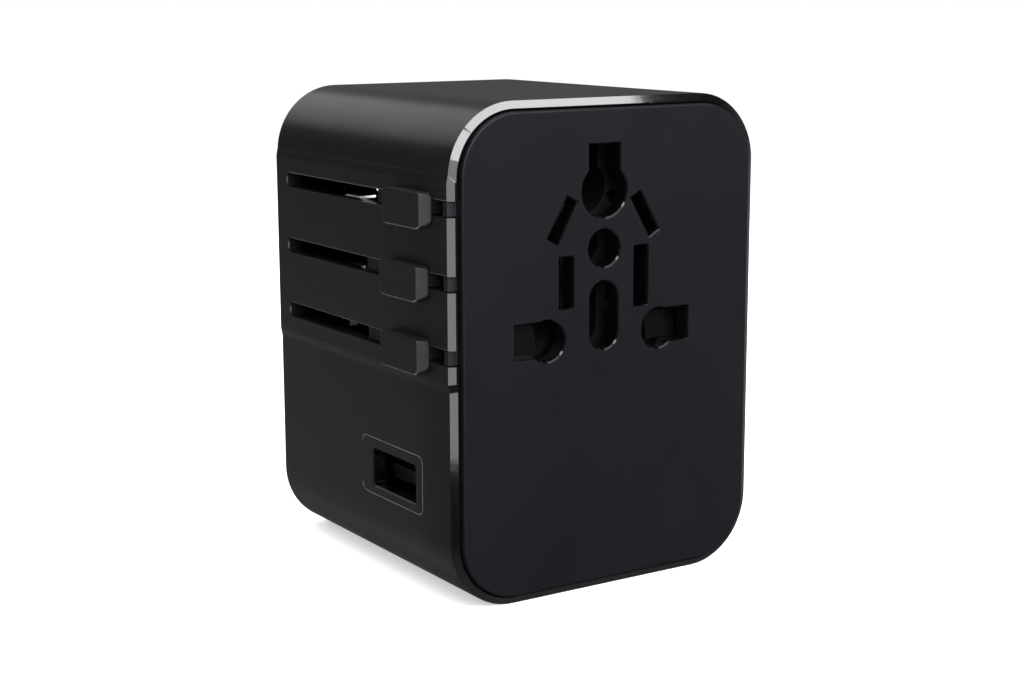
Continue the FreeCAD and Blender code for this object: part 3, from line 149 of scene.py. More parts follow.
def mouldedPlastic(name, look):
    material, tree, place = newMaterial(name, look["colour"])
    edge = addNode(tree, "Bevel", {"samples": 6, "Radius": look["edgeRadius"] * mm})
    if "softened" in look:
        softenBand(tree, place, edge, look)
    under = easeFront(tree, place, edge, look) if "easeFrom" in look else edge
    grain = addNode(tree, "TexNoise", {"Scale": 1 / (look["grain"] * mm), "Detail": 3,
                                       "Roughness": 0.55}, {"Vector": place})
    flow = addNode(tree, "TexNoise", {"Scale": 1 / (look["flow"] * mm), "Detail": 5,
                                      "Roughness": 0.6}, {"Vector": place})
    bump = addNode(tree, "Bump", {"Strength": 1, "Distance": look["grainDepth"] * mm},
                   {"Height": grain, "Normal": under})
    # Rounded edges are paler than the faces: a little wear and a painted highlight.
    facing = addNode(tree, "VectorMath", {"operation": "DOT_PRODUCT"},
                     {0: edge, 1: (addNode(tree, "NewGeometry"), "Normal")})
    edgeWearAndHighlight = addNode(tree, "MapRange", {"From Min": wearAndHighlightStart, "From Max": wearAndHighlightFull,
                                        "To Max": look["edgeWearAndHighlight"]}, {"Value": (facing, "Value")})
    pale = addNode(tree, "MapRange", {"From Min": noiseLow, "From Max": noiseHigh,
                                      "To Max": palest}, {"Value": flow})
    tone = addNode(tree, "Mix", {"data_type": "RGBA", 6: toLinear(look["colour"]),
                                 7: toLinear(look["pale"])}, {0: pale})
    colour = addNode(tree, "Mix", {"data_type": "RGBA", 7: toLinear(look["edgeWearAndHighlightColour"])},
                     {0: edgeWearAndHighlight, 6: (tone, 2)})
    smooth, rough = look["roughness"]
    sheen = addNode(tree, "MapRange", {"From Min": noiseLow, "From Max": noiseHigh,
                                       "To Min": smooth, "To Max": rough}, {"Value": flow})
    shader = addNode(tree, "BsdfPrincipled",
                     {"IOR": look["ior"], "Specular IOR Level": look["specular"]},
                     {"Base Color": (colour, 2), "Roughness": sheen, "Normal": bump})
    addNode(tree, "OutputMaterial", None, {"Surface": shader})
    return material


# Black polycarbonate from a spark-eroded mould: a satin that takes a broad grey sheen at a low
# angle. The band's edges are softened at two heights, and the side eases inwards at the front.
sleeveLook = {"colour": "#121214", "pale": "#161618", "edgeWearAndHighlightColour": "#202124", "edgeWearAndHighlight": 0.3,
              "roughness": (0.28, 0.33), "ior": 1.585, "specular": 0.42,
              "grain": 0.32, "grainDepth": 0.003, "flow": 9, "edgeRadius": 0.12,
              "softened": (31.8, 59.9), "softRadius": 0.5, "softFrom": 1.5, "softFull": 0.9,
              "easeFrom": -15, "easeLength": 10.5, "easeDrop": 0.6, "easeTop": 64, "easeFull": 56}
# Fine matt grain of the two covers: a flat, slightly cool black with very little shine.
coverLook = {"colour": "#0a0c10", "pale": "#0c0e13", "edgeWearAndHighlightColour": "#1a1d22", "edgeWearAndHighlight": 0.5,
             "roughness": (0.38, 0.44), "ior": 1.585, "specular": 0.13,
             "grain": 0.26, "grainDepth": 0.005, "flow": 14, "edgeRadius": 0.1}
# Satin knobs, brushed by thumbs: a little shinier and paler than the covers.
knobLook = {"colour": "#121315", "pale": "#161719", "edgeWearAndHighlightColour": "#26282a", "edgeWearAndHighlight": 0.6,
            "roughness": (0.36, 0.46), "ior": 1.5, "specular": 0.5,
            "grain": 0.3, "grainDepth": 0.003, "flow": 4, "edgeRadius": 0.15}
# The slots' top edges and the knobs' rear and lower ones, picked by the way they face: a fine pale
# line of painted highlight.
paintedHighlightLook = {"colour": "#3c3e42", "pale": "#4c4e52", "edgeWearAndHighlightColour": "#5a5c60", "edgeWearAndHighlight": 0.5,
              "roughness": (0.3, 0.4), "ior": 1.585, "specular": 0.5,
              "grain": 0.3, "grainDepth": 0.003, "flow": 2, "edgeRadius": 0.05}
# Glass-filled nylon inside: fibres leave a dry, mottled skin. Its near-black colour is partly
# painted shade inside the housing.
innerLook = {"colour": "#070708", "pale": "#0c0c0d", "edgeWearAndHighlightColour": "#18181a", "edgeWearAndHighlight": 0.4,
             "roughness": (0.5, 0.7), "ior": 1.53, "specular": 0.2,
             "grain": 0.45, "grainDepth": 0.012, "flow": 2.5, "edgeRadius": 0.12}
# The shutter slides, so its ramps are smooth: acetal from a polished mould, dark with one soft
# gleam. Its near-black colour is partly painted shade deep in the holes.
shutterLook = {"colour": "#020304", "pale": "#040507", "edgeWearAndHighlightColour": "#101216", "edgeWearAndHighlight": 0.5,
               "roughness": (0.28, 0.34), "ior": 1.48, "specular": 0.1,
               "grain": 0.5, "grainDepth": 0.002, "flow": 5, "edgeRadius": 0.12}
# The pins' insulating sleeves are smooth drawn nylon.
collarLook = {"colour": "#121212", "pale": "#171717", "edgeWearAndHighlightColour": "#2a2a2a", "edgeWearAndHighlight": 0.5,
              "roughness": (0.3, 0.4), "ior": 1.53, "specular": 0.5,
              "grain": 0.5, "grainDepth": 0.004, "flow": 3, "edgeRadius": 0.1}
# The port's tongue: dark grey heat-proof polyester, smooth from a polished insert, darkened further
# as painted shade inside the port. Its pale edges are a strong painted highlight.
tongueLook = {"colour": "#08090a", "pale": "#0b0c0d", "edgeWearAndHighlightColour": "#3c3e41", "edgeWearAndHighlight": 0.9,
              "roughness": (0.3, 0.4), "ior": 1.57, "specular": 0.5,
              "grain": 0.4, "grainDepth": 0.003, "flow": 2, "edgeRadius": 0.15}
# Chip package: epoxy filled with silica, dull and finely pitted.
chipLook = {"colour": "#1b1b1c", "pale": "#252527", "edgeWearAndHighlightColour": "#333335", "edgeWearAndHighlight": 0.3,
            "roughness": (0.55, 0.65), "ior": 1.55, "specular": 0.5,
            "grain": 0.15, "grainDepth": 0.01, "flow": 1.5, "edgeRadius": 0.08}

knobPlastic = mouldedPlastic("absSatinMoulded", knobLook)
# Painted highlight for the edges of the slots and the knobs that catch the light.
paintedHighlightPlastic = mouldedPlastic("polycarbonatePaintedEdgeHighlight", paintedHighlightLook)

dress(mouldedPlastic("polycarbonateSparkEroded", sleeveLook), "sleeve")
dress(mouldedPlastic("polycarbonateFineMatt", coverLook), "front_cover", "rear_cover",
      "front_posts", "rear_bosses", "drawer_chute", "fuse_drawer")
dress(knobPlastic, *knobNames)
dress(mouldedPlastic("nylonGlassFilled", innerLook), "board_tray", "socket_block", "us_carrier",
      "eu_carrier", "uk_carrier")
dress(mouldedPlastic("acetalMouldedSmooth", shutterLook), "safety_shutter")
dress(mouldedPlastic("nylonDrawnSleeve", collarLook), "eu_pin_collars")
dress(mouldedPlastic("polyesterMouldedTongue", tongueLook), "usb_tongue")
dress(mouldedPlastic("epoxyTransferMoulded", chipLook), "controller_chip")
print("moulded plastics done")


# The sleeve's front rim is lacquered piano black. The walls of the port's window and of the holes
# come from polished parts of the mould. Both have the faint waviness that a glossy plastic keeps,
# 2 to 3 mm from crest to crest, and dust that dulls them in fine spots.
rimLook = {"colour": "#060607", "roughness": (0.04, 0.07), "ior": 1.585, "specular": 1.0,
           "wave": 2.4, "waveDepth": 0.003, "dust": 0.3, "dustSpan": (0.35, 0.75)}
wallLook = dict(rimLook, roughness=(0.05, 0.08), specular=0.4)
# Where the polished faces and those with painted highlight lie, in millimetres.
polishPlaces = {"rimDepth": 0.56, "sideRight": -23.6, "sideFront": -25.2, "sideRear": 24,
                "sideLow": 12, "sideHigh": 58, "slotsLow": 30, "tabsRight": -24.7,
                "holesLeft": -18, "holesRight": 15.5, "holesLow": 27, "holesHigh": 66.5}
# Which way they look: limits for parts of a face's normal, which is 1 where it looks along an axis.
polishTurns = {"rimForward": -0.5, "wallSideways": 0.3, "edgeSideways": 0.8, "holeForward": 0.95,
               "knobBack": 0.2, "knobDown": -0.2, "knobSide": (-0.97, -0.25)}


def polishedPlastic(name, look):
    material, tree, place = newMaterial(name, look["colour"])
    wave = addNode(tree, "TexNoise", {"Scale": 1 / (look["wave"] * mm), "Detail": 2},
                   {"Vector": place})
    dust = addNode(tree, "TexNoise", {"Scale": 1 / (look["dust"] * mm), "Detail": 2},
                   {"Vector": place})
    bump = addNode(tree, "Bump", {"Strength": 1, "Distance": look["waveDepth"] * mm},
                   {"Height": wave})
    start, full = look["dustSpan"]
    smooth, rough = look["roughness"]
    sheen = addNode(tree, "MapRange", {"From Min": start, "From Max": full,
                                       "To Min": smooth, "To Max": rough}, {"Value": dust})
    shader = addNode(tree, "BsdfPrincipled",
                     {"Base Color": toLinear(look["colour"]), "IOR": look["ior"],
                      "Specular IOR Level": look["specular"]},
                     {"Roughness": sheen, "Normal": bump})
    addNode(tree, "OutputMaterial", None, {"Surface": shader})
    return material


def polish(rim, wall, edgeWearAndHighlight, satin, places, turns):
    # Slots 1 to 3 of the sleeve are the rim, the slots' edges with painted highlight and the
    # window's walls. Slots 1 and 2 of the front cover are the holes' walls and the tabs. Slot 1 of
    # a knob is its edge with painted highlight.
    sleeve, cover = nodes["sleeve"].data, nodes["front_cover"].data
    front = min(v.co.y for v in sleeve.vertices)
    for material in (rim, edgeWearAndHighlight, wall):
        sleeve.materials.append(material)
    for face in sleeve.polygons:
        across, deep, up = face.center / mm
        sideways = abs(face.normal.x)
        atSlots = (across < places["sideRight"] and places["sideFront"] < deep < places["sideRear"]
                   and places["sideLow"] < up < places["sideHigh"])
        atRim = face.center.y < front + places["rimDepth"] * mm
        if atRim and face.normal.y < turns["rimForward"]:
            face.material_index = 1
        elif atSlots and sideways < turns["wallSideways"] and up < places["slotsLow"]:
            face.material_index = 3
        # The slots' bevelled edges above the port get the painted highlight.
        elif (atSlots and turns["wallSideways"] < sideways < turns["edgeSideways"]
              and up > places["slotsLow"]):
            face.material_index = 2
        else:
            face.material_index = 0
    for material in (wall, satin):
        cover.materials.append(material)
    for face in cover.polygons:
        across, deep, up = face.center / mm
        inHoles = (abs(face.normal.y) < turns["holeForward"]
                   and places["holesLow"] < up < places["holesHigh"]
                   and places["holesLeft"] < across < places["holesRight"])
        face.material_index = 1 if inHoles else 2 if across < places["tabsRight"] else 0
    mostSide, leastSide = turns["knobSide"]
    for name in knobNames:
        knob = nodes[name].data
        knob.materials.append(edgeWearAndHighlight)
        for face in knob.polygons:
            # The knob's rounded edge faces that look back or down get the painted highlight.
            paintedHighlightFace = face.normal.y > turns["knobBack"] or face.normal.z < turns["knobDown"]
            face.material_index = int(paintedHighlightFace and mostSide < face.normal.x < leastSide)


polish(polishedPlastic("polycarbonateLacquered", rimLook),
       polishedPlastic("polycarbonatePolished", wallLook),
       paintedHighlightPlastic, knobPlastic, polishPlaces, polishTurns)
print("polished faces done")


# Metals keep the default IOR. Streaks run along the rolling or drawing direction.

stainStart, stainFull = 0.4, 0.75     # values of the noise where the dulling starts and is full


def workedMetal(name, look):
    material, tree, place = newMaterial(name, look["colour"])
    edge = addNode(tree, "Bevel", {"samples": 4, "Radius": look["edgeRadius"] * mm})
    stretch = addNode(tree, "Mapping", {"Scale": look["streak"]}, {"Vector": place})
    streaks = addNode(tree, "TexNoise", {"Scale": 1 / (look["streakWidth"] * mm), "Detail": 4,
                                         "Roughness": 0.6}, {"Vector": stretch})
    stain = addNode(tree, "TexNoise", {"Scale": 1 / (look["stain"] * mm), "Detail": 5,
                                       "Roughness": 0.65}, {"Vector": place})
    bump = addNode(tree, "Bump", {"Strength": 1, "Distance": look["streakDepth"] * mm},
                   {"Height": streaks, "Normal": edge})
    dulled = addNode(tree, "MapRange", {"From Min": stainStart, "From Max": stainFull,
                                        "To Max": look["dulling"]}, {"Value": stain})
    colour = addNode(tree, "Mix", {"data_type": "RGBA", 6: toLinear(look["colour"]),
                                   7: toLinear(look["dull"])}, {0: dulled})
    smooth, rough = look["roughness"]
    sheen = addNode(tree, "MapRange", {"From Min": noiseLow, "From Max": noiseHigh,
                                       "To Min": smooth, "To Max": rough}, {"Value": streaks})
    shader = addNode(tree, "BsdfPrincipled", {"Metallic": 1},
                     {"Base Color": (colour, 2), "Roughness": sheen, "Normal": bump})
    addNode(tree, "OutputMaterial", None, {"Surface": shader})
    return material


# Bright nickel over brass pins: warm white, with fine lines from being pushed into sockets.
pinLook = {"colour": "#d2cfc8", "dull": "#a9a59b", "dulling": 0.5, "roughness": (0.15, 0.26),
           "streak": (1, 0.06, 1), "streakWidth": 0.12, "streakDepth": 0.002,
           "stain": 3, "edgeRadius": 0.12}
# Stamped brass strip: yellow, rolled lines, darker where handled.
brassLook = {"colour": "#a88c50", "dull": "#5e4a28", "dulling": 0.8, "roughness": (0.29, 0.42),
             "streak": (1, 0.08, 1), "streakWidth": 0.15, "streakDepth": 0.003,
             "stain": 4, "edgeRadius": 0.08}
# Zinc plated screws: grey blue, slightly cloudy.
screwLook = {"colour": "#a5a7ab", "dull": "#7d7f83", "dulling": 0.7, "roughness": (0.28, 0.42),
             "streak": (1, 1, 1), "streakWidth": 0.2, "streakDepth": 0.003,
             "stain": 1.5, "edgeRadius": 0.1}
# Cold rolled spring steel: smooth grey with rolling lines.
springLook = {"colour": "#c5c6c8", "dull": "#8f9092", "dulling": 0.5, "roughness": (0.29, 0.38),
              "streak": (1, 0.08, 0.3), "streakWidth": 0.12, "streakDepth": 0.001,
              "stain": 2, "edgeRadius": 0.02}
# The port's plated sheet shell: a smoke grey, nearly black as painted shade inside the port.
shellLook = {"colour": "#1c1c1e", "dull": "#101011", "dulling": 0.6, "roughness": (0.28, 0.4),
             "streak": (0.08, 1, 1), "streakWidth": 0.15, "streakDepth": 0.002,
             "stain": 2, "edgeRadius": 0.1}
# Gold flash on the port's contacts, darkened as painted shade inside the port.
goldLook = {"colour": "#8f7440", "dull": "#4c3c1e", "dulling": 0.7, "roughness": (0.28, 0.4),
            "streak": (0.1, 1, 1), "streakWidth": 0.1, "streakDepth": 0.001,
            "stain": 1, "edgeRadius": 0.05}

dress(workedMetal("nickelPlatedBrass", pinLook), *pinNames, "fuse_caps")
dress(workedMetal("brassStampedStrip", brassLook), "live_contact", "neutral_contact", "us_wipers",
      "eu_wipers", "uk_wipers", "fuse_clips")
dress(workedMetal("steelZincPlated", screwLook), "housing_screws")
dress(workedMetal("springSteelRolled", springLook), "shutter_spring", "us_click_strip",
      "eu_click_strip")
dress(workedMetal("sheetSteelPaintedShade", shellLook), "usb_shell")
dress(workedMetal("bronzeGoldFlashed", goldLook), "usb_contacts")
print("metals done")


# Charger and fuse parts

# Glass-epoxy laminate under green solder mask: tracks 0.3 mm wide stand 0.035 mm proud beneath it.
boardLook = {"colour": "#1f5a33", "track": "#2f7a45", "pitch": 1.9, "trackWidth": 0.3,
             "trackLength": 2.5, "trackDepth": 0.035, "roughness": 0.32, "ior": 1.55}
# Sintered ferrite: dry dark grey with open pores of about 0.1 mm, drawn at 0.3 mm.
ferriteLook = {"colour": "#3a3a3d", "pale": "#4c4c50", "pore": 0.3, "poreSpan": (0.1, 0.6),
               "poreDepth": 0.02, "roughness": 0.62, "ior": 1.5}
# Polyester tape wound over the coil: glossy yellow, one turn's edge every 1.5 mm.
tapeLook = {"colour": "#c9a227", "under": "#a87f1c", "turn": 1.5, "turnDepth": 0.05, "waver": 0.4,
            "roughness": 0.24, "ior": 1.6}
# Heat-shrunk film on the capacitors: dark blue gloss with slight draw marks.
filmLook = {"colour": "#16233f", "pale": "#1f3157", "crease": 1.2, "creaseDepth": 0.02,
            "roughness": 0.2, "ior": 1.57}
# Drawn glass tube of the fuse: clear, with faint lines along its length.
glassLook = {"colour": "#eef4f3", "roughness": 0.03, "ior": 1.51, "line": 0.4, "lineDepth": 0.003,
             "stretch": (1, 0.05, 1)}
wavePeriod = math.pi / 10        # of the wave texture at a scale of 1


def boardLaminate(name, look):
    material, tree, place = newMaterial(name, look["colour"])
    # The tracks are the mortar of a brick pattern, which has half their width on either side.
    tracks = addNode(tree, "TexBrick", {"offset": 0.5, "Color1": (0, 0, 0, 1),
                                        "Color2": (0, 0, 0, 1), "Mortar": (1, 1, 1, 1),
                                        "Scale": 1 / (look["pitch"] * mm),
                                        "Mortar Size": look["trackWidth"] / look["pitch"] / 2,
                                        "Brick Width": look["trackLength"], "Row Height": 1},
                     {"Vector": place})
    patternedSurface(tree, look, {"share": tracks, "height": tracks}, look["colour"],
                     look["track"], look["trackDepth"])
    return material


def ferriteSintered(name, look):
    material, tree, place = newMaterial(name, look["colour"])
    pores = addNode(tree, "TexVoronoi", {"Scale": 1 / (look["pore"] * mm)}, {"Vector": place})
    start, full = look["poreSpan"]
    tone = addNode(tree, "MapRange", {"From Min": start, "From Max": full}, {"Value": pores})
    patternedSurface(tree, look, {"share": tone, "height": pores}, look["colour"], look["pale"],
                     look["poreDepth"])
    return material


def tapeWound(name, look):
    material, tree, place = newMaterial(name, look["colour"])
    wave = addNode(tree, "TexWave", {"wave_type": "BANDS", "bands_direction": "Y",
                                     "wave_profile": "SAW", "Detail": 1,
                                     "Scale": wavePeriod / (look["turn"] * mm),
                                     "Distortion": look["waver"]}, {"Vector": place})
    turns = (wave, 1)
    patternedSurface(tree, look, {"share": turns, "height": turns}, look["under"],
                     look["colour"], look["turnDepth"])
    return material


def filmShrunk(name, look):
    material, tree, place = newMaterial(name, look["colour"])
    creases = addNode(tree, "TexNoise", {"Scale": 1 / (look["crease"] * mm), "Detail": 3},
                      {"Vector": place})
    patternedSurface(tree, look, {"share": creases, "height": creases}, look["colour"],
                     look["pale"], look["creaseDepth"])
    return material


def glassDrawn(name, look):
    material, tree, place = newMaterial(name, look["colour"])
    stretch = addNode(tree, "Mapping", {"Scale": look["stretch"]}, {"Vector": place})
    lines = addNode(tree, "TexNoise", {"Scale": 1 / (look["line"] * mm), "Detail": 2},
                    {"Vector": stretch})
    bump = addNode(tree, "Bump", {"Strength": 1, "Distance": look["lineDepth"] * mm},
                   {"Height": lines})
    shader = addNode(tree, "BsdfPrincipled",
                     {"Base Color": toLinear(look["colour"]), "IOR": look["ior"],
                      "Roughness": look["roughness"], "Transmission Weight": 1},
                     {"Normal": bump})
    addNode(tree, "OutputMaterial", None, {"Surface": shader})
    return material


dress(boardLaminate("glassEpoxyLaminate", boardLook), "charger_board")
dress(ferriteSintered("ferriteSintered", ferriteLook), "transformer_core")
dress(tapeWound("polyesterTapeWound", tapeLook), "transformer_winding")
dress(filmShrunk("polyesterFilmShrunk", filmLook), "bulk_capacitor", "output_capacitor")
dress(glassDrawn("glassDrawnTube", glassLook), "fuse_glass")
print("charger and fuse parts done")


# Pieces that only the looks need

# Grey line that is pad printed round the port, in millimetres. Its rear side is bare in the middle.
# The ink is a thin, slightly broken matt film.
outline = {"side": -25.8, "rear": -0.45, "front": -17.85, "low": 12.35, "high": 20.75,
           "radius": 1.2, "width": 0.062, "proud": 0.02, "sunk": 0.005,
           "bareLow": 13.6, "bareHigh": 19.6, "cornerSteps": 8,
           "colour": "#6a6b6d", "under": "#202122", "speck": 0.25, "speckSpan": (0.32, 0.5),
           "thinnest": 0.3, "filmDepth": 0.005, "roughness": 0.6, "ior": 1.5}


def inkPrinted(name, look):
    material, tree, place = newMaterial(name, look["colour"])
    specks = addNode(tree, "TexNoise", {"Scale": 1 / (look["speck"] * mm), "Detail": 3},
                     {"Vector": place})
    start, full = look["speckSpan"]
    cover = addNode(tree, "MapRange", {"From Min": start, "From Max": full,
                                       "To Min": look["thinnest"]}, {"Value": specks})
    patternedSurface(tree, look, {"share": cover, "height": specks}, look["under"],
                     look["colour"], look["filmDepth"])
    return material


def outlinePath(look):
    # Points along the middle of the line, each with the direction that looks out of its bend.
    radius = look["radius"]
    front, rear = look["front"] + radius, look["rear"] - radius
    low, high = look["low"] + radius, look["high"] - radius
    path = [((look["rear"], look["bareLow"]), (1, 0))]
    for turn, (across, up) in enumerate(((rear, low), (front, low), (front, high), (rear, high))):
        for step in range(look["cornerSteps"] + 1):
            angle = -math.pi / 2 * (turn + step / look["cornerSteps"])
            out = (math.cos(angle), math.sin(angle))
            path.append(((across + radius * out[0], up + radius * out[1]), out))
    path.append(((look["rear"], look["bareHigh"]), (1, 0)))
    return path


def makeOutline(look):
    shape = bmesh.new()
    rings = []
    for (across, up), out in outlinePath(look):
        ring = []     # the line's cross-section, from below the surface to above it and back
        for side, rise in ((-0.5, 0), (-0.5, 1), (0.5, 1), (0.5, 0)):
            spot = (look["side"] - look["proud"] * rise + look["sunk"] * (1 - rise),
                    across + out[0] * side * look["width"], up + out[1] * side * look["width"])
            ring.append(shape.verts.new([c * mm for c in spot]))
        rings.append(ring)
    for near, far in zip(rings, rings[1:]):
        for i in range(4):
            shape.faces.new((near[i], near[(i + 1) % 4], far[(i + 1) % 4], far[i]))
    shape.faces.new(rings[0])
    shape.faces.new(reversed(rings[-1]))
    bmesh.ops.recalc_face_normals(shape, faces=shape.faces)
    mesh = bpy.data.meshes.new("portOutline")
    shape.to_mesh(mesh)
    shape.free()
    mesh.materials.append(inkPrinted("inkPadPrinted", look))
    piece = bpy.data.objects.new("port_outline", mesh)
    bpy.context.scene.collection.objects.link(piece)
    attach(piece, "housing")


makeOutline(outline)
print("small pieces done")


# Studio

# The camera stands where the photograph was taken from, with no shift. Angles are in degrees, the
# lens and the sensor in millimetres.
cameraLook = {"place": (-0.1473, -0.2285, 0.0841), "yaw": 32.911, "pitch": 10.954, "roll": -0.141,
              "lens": 63.70, "sensor": 36, "nearest": 0.01, "farthest": 20}


def makeCamera(look):
    data = bpy.data.cameras.new("camera")
    data.sensor_width = look["sensor"]
    data.lens = look["lens"]
    data.clip_start = look["nearest"]
    data.clip_end = look["farthest"]
    yaw, pitch, roll = (math.radians(look[turn]) for turn in ("yaw", "pitch", "roll"))
    ahead = Vector((math.sin(yaw) * math.cos(pitch), math.cos(yaw) * math.cos(pitch),
                    -math.sin(pitch)))
    camera = bpy.data.objects.new("camera", data)
    camera.location = look["place"]
    camera.rotation_mode = "QUATERNION"
    camera.rotation_quaternion = ahead.to_track_quat("-Z", "Y") @ Quaternion((0, 0, 1), roll)
    bpy.context.scene.collection.objects.link(camera)
    bpy.context.scene.camera = camera


# White paper floor: soft white with a fine tooth. It glows faintly all over, which lightens the
# object's shadow on it, and away from the object it glows like a lit sweep.
# The size and the two distances from the middle are in metres, the tooth and the gap below the
# object in millimetres.
floorLook = {"size": 16, "gap": 0.02, "colour": "#f4f4f4", "roughness": 0.9, "specular": 0.2,
             "tooth": 0.8, "toothDepth": 0.02, "toothStrength": 0.3,
             "glowStart": 0.3, "glowFull": 0.8, "glow": 1.02, "glowUnder": 0.45}


def makeFloor(look):
    mesh = bpy.data.meshes.new("floor")
    half = look["size"] / 2
    corners = [(-half, -half, 0), (half, -half, 0), (half, half, 0), (-half, half, 0)]
    mesh.from_pydata(corners, [], [(0, 1, 2, 3)])
    material, tree, place = newMaterial("paperWhite", look["colour"])
    tooth = addNode(tree, "TexNoise", {"Scale": 1 / (look["tooth"] * mm), "Detail": 3},
                    {"Vector": place})
    bump = addNode(tree, "Bump", {"Strength": look["toothStrength"],
                                  "Distance": look["toothDepth"] * mm}, {"Height": tooth})
    paper = addNode(tree, "BsdfPrincipled", {"Base Color": toLinear(look["colour"]),
                                             "Roughness": look["roughness"],
                                             "Specular IOR Level": look["specular"],
                                             "Emission Color": (1, 1, 1, 1),
                                             "Emission Strength": look["glowUnder"]},
                    {"Normal": bump})
    away = addNode(tree, "VectorMath", {"operation": "LENGTH"}, {0: place})
    share = addNode(tree, "MapRange", {"interpolation_type": "SMOOTHSTEP",
                                       "From Min": look["glowStart"],
                                       "From Max": look["glowFull"]}, {"Value": (away, "Value")})
    glow = addNode(tree, "Emission", {"Color": (1, 1, 1, 1), "Strength": look["glow"]})
    mixed = addNode(tree, "MixShader", None, {0: share, 1: paper, 2: glow})
    addNode(tree, "OutputMaterial", None, {"Surface": mixed})
    material.cycles.emission_sampling = "NONE"     # so wide a lamp sampled up close leaves specks
    mesh.materials.append(material)
    floor = bpy.data.objects.new("floor", mesh)
    floor.location.z = cadLow.z - look["gap"] * mm
    floor.visible_glossy = False      # the dark sides don't mirror the floor
    bpy.context.scene.collection.objects.link(floor)


# Softboxes stand round the middle of the object: azimuth to the right of the front, elevation above
# level, distance and size in metres, and brightness. A box lights surfaces and shows in them. A
# wash has no gloss, so it only lights them, and a card has nothing but gloss, so it only shows in
# them.
softboxes = {
    "boxHigh": {"azimuth": 0, "elevation": 32, "distance": 1.0, "size": (1.5, 0.8),
                "brightness": 6.2, "without": ("sleeve",)},
    "washHigh": {"azimuth": 0, "elevation": 32, "distance": 1.01, "size": (1.5, 0.8),
                 "brightness": 6.2, "noGloss": True, "only": ("sleeve",)},
    "cardHigh": {"azimuth": 18.4, "elevation": 39.1, "distance": 1.0, "size": (0.84, 0.28),
                 "brightness": 6.2, "onlyGloss": True, "only": ("sleeve",)},
    "cardMiddle": {"azimuth": -12, "elevation": 20, "distance": 1.0, "size": (0.32, 0.36),
                   "brightness": 6.2, "onlyGloss": True, "only": ("sleeve",)},
    "cardLow": {"azimuth": -12.5, "elevation": -2.3, "distance": 1.0, "size": (0.76, 0.46),
                "brightness": 1.7, "onlyGloss": True},
    "cardRight": {"azimuth": 89, "elevation": -8, "distance": 1.0, "size": (0.5, 0.4),
                  "brightness": 0.12, "onlyGloss": True, "only": ("sleeve",)},
    "cardSide": {"azimuth": 65, "elevation": -11, "distance": 1.0, "size": (0.4, 0.5),
                 "brightness": 2.5, "onlyGloss": True, "only": ("front_cover",)},
    "boxBack": {"azimuth": 186, "elevation": 34, "distance": 1.0, "size": (0.66, 0.5),
                "brightness": 0.8, "without": knobNames},
    "washBack": {"azimuth": 160, "elevation": 14, "distance": 1.0, "size": (0.8, 0.4),
                 "brightness": 5, "noGloss": True},
    "washRear": {"azimuth": 165, "elevation": 14, "distance": 1.0, "size": (1.2, 0.4),
                 "brightness": 12, "noGloss": True,
                 "only": ("rear_cover", "fuse_drawer", "drawer_chute")},
    "cardRear": {"azimuth": 165, "elevation": 6, "distance": 1.0, "size": (1.3, 0.7),
                 "brightness": 2.2, "onlyGloss": True, "only": ("housing_screws",) + pinNames},
    "boxTop": {"azimuth": 0, "elevation": 88, "distance": 1.3, "size": (1.6, 1.6),
               "brightness": 1.6},
    "washLeft": {"azimuth": 236, "elevation": 1, "distance": 0.42, "size": (0.3, 0.06),
                 "brightness": 10, "noGloss": True},
    "cardStrips": {"azimuth": 208, "elevation": -6.5, "distance": 0.5, "size": (0.4, 0.25),
                   "brightness": 5, "onlyGloss": True,
                   "only": ("us_click_strip", "eu_click_strip"), "unblocked": True},
}


def makeSoftbox(name, look):
    data = bpy.data.lights.new(name, "AREA")
    data.shape = "RECTANGLE"
    data.size, data.size_y = look["size"]
    data.energy = look["brightness"] * math.pi * data.size * data.size_y
    light = bpy.data.objects.new(name, data)
    azimuth, elevation = math.radians(look["azimuth"]), math.radians(look["elevation"])
    out = Vector((math.sin(azimuth) * math.cos(elevation),
                  -math.cos(azimuth) * math.cos(elevation), math.sin(elevation)))
    light.location = (cadLow + cadHigh) / 2 + out * look["distance"]
    light.rotation_mode = "QUATERNION"
    light.rotation_quaternion = (-out).to_track_quat("-Z", "Y")
    light.visible_camera = False
    light.visible_diffuse = not look.get("onlyGloss", False)
    light.visible_glossy = not look.get("noGloss", False)
    if "only" in look or "without" in look:
        # It reaches these nodes alone, or all but these. Unblocked, no other node shades them.
        chosen = bpy.data.collections.new(name + "Chosen")
        for lit in look.get("only") or look["without"]:
            chosen.objects.link(nodes[lit])
        light.light_linking.receiver_collection = chosen
        if "without" in look:
            for member in chosen.collection_objects:
                member.light_linking.link_state = "EXCLUDE"
        if look.get("unblocked"):
            light.light_linking.blocker_collection = chosen
    bpy.context.scene.collection.objects.link(light)


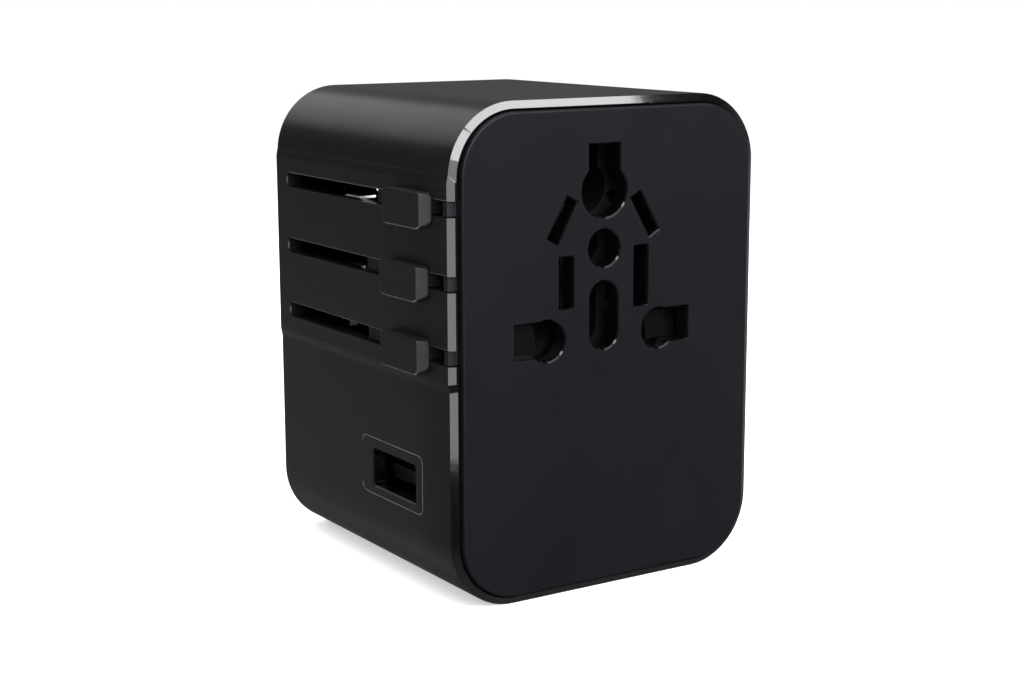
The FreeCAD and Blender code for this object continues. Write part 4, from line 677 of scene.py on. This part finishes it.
# The room: white where the camera sees it and an even fill on the surfaces. Reflections show, from
# far below to overhead, the lit floor, a dark line of curtains at the horizon and a dim wall. The
# floor is brightest behind the object on its right, and on its left it fades towards the curtain's
# edge. Each pair is how steeply a reflection looks, from -1 straight down to 1 straight up, and the
# brightness there. The spans are where one wall gives way to the next, from -1 at the left or the
# front to 1 at the right or the back.
roomLook = {"seen": 1.0, "fill": 0.5,
            "front": [(-1, 0.15), (-0.5, 0.1), (-0.3, 0.02), (-0.12, 0.03), (0, 0.02),
                      (0.07, 0.08), (0.15, 0.12), (0.3, 0.1), (0.45, 0.03), (1, 0.04)],
            "rearLeft": [(-1, 0.04), (-0.72, 0.09), (-0.56, 0.21), (-0.42, 0.1), (-0.27, 0.15),
                         (-0.17, 0.08), (-0.12, 0.055), (-0.06, 0.02), (0, 0.01), (0.3, 0.01),
                         (1, 0.04)],
            "rearRight": [(-1, 0.05), (-0.5, 0.1), (-0.35, 0.2), (-0.15, 0.4), (-0.05, 0.15),
                          (0, 0.06), (0.05, 0.11), (0.12, 0.15), (0.2, 0.16), (0.32, 0.18),
                          (0.5, 0.05), (1, 0.04)],
            "fadeSpan": (-0.66, -0.43), "fade": (0.15, 1.35), "rightSpan": (-0.4, 0.1),
            "rearSpan": (-0.2, 0.2)}


def makeRoom(look):
    world = bpy.data.worlds.new("room")
    bpy.context.scene.world = world
    world.use_nodes = True
    tree = world.node_tree
    tree.nodes.clear()
    ray = addNode(tree, "LightPath")
    direction = addNode(tree, "SeparateXYZ", None, {0: addNode(tree, "TexCoord")})
    height = addNode(tree, "MapRange", {"From Min": -1, "From Max": 1}, {"Value": (direction, 2)})
    walls = {}
    for side in ("front", "rearLeft", "rearRight"):
        walls[side] = addNode(tree, "ValToRGB", None, {0: height})
        stops = walls[side].color_ramp.elements
        while len(stops) > 1:
            stops.remove(stops[-1])
        for level, brightness in look[side]:
            position = (level + 1) / 2
            stop = stops[0] if level == -1 else stops.new(position)
            stop.position = position
            stop.color = (brightness, brightness, brightness, 1)
    start, end = look["fadeSpan"]
    dim, full = look["fade"]
    fade = addNode(tree, "MapRange", {"From Min": start, "From Max": end, "To Min": dim,
                                      "To Max": full}, {"Value": (direction, 0)})
    left = addNode(tree, "Math", {"operation": "MULTIPLY"}, {0: walls["rearLeft"], 1: fade})
    shares = []
    for span, axis in ((look["rightSpan"], 0), (look["rearSpan"], 1)):
        shares.append(addNode(tree, "MapRange", {"interpolation_type": "SMOOTHSTEP",
                                                 "From Min": span[0], "From Max": span[1]},
                              {"Value": (direction, axis)}))
    toRight, toRear = shares
    rear = addNode(tree, "Mix", None, {0: toRight, 2: left, 3: walls["rearRight"]})
    mirrored = addNode(tree, "Mix", None, {0: toRear, 2: walls["front"], 3: rear})
    lit = addNode(tree, "Mix", {2: look["fill"]}, {0: (ray, "Is Glossy Ray"), 3: mirrored})
    seen = addNode(tree, "Mix", {3: look["seen"]}, {0: (ray, "Is Camera Ray"), 2: lit})
    shader = addNode(tree, "Background", {"Color": (1, 1, 1, 1)}, {"Strength": seen})
    addNode(tree, "OutputWorld", None, {"Surface": shader})


makeCamera(cameraLook)
makeFloor(floorLook)
for boxName, boxLook in softboxes.items():
    makeSoftbox(boxName, boxLook)
makeRoom(roomLook)
bpy.context.scene.view_settings.view_transform = "Standard"
print("studio done")
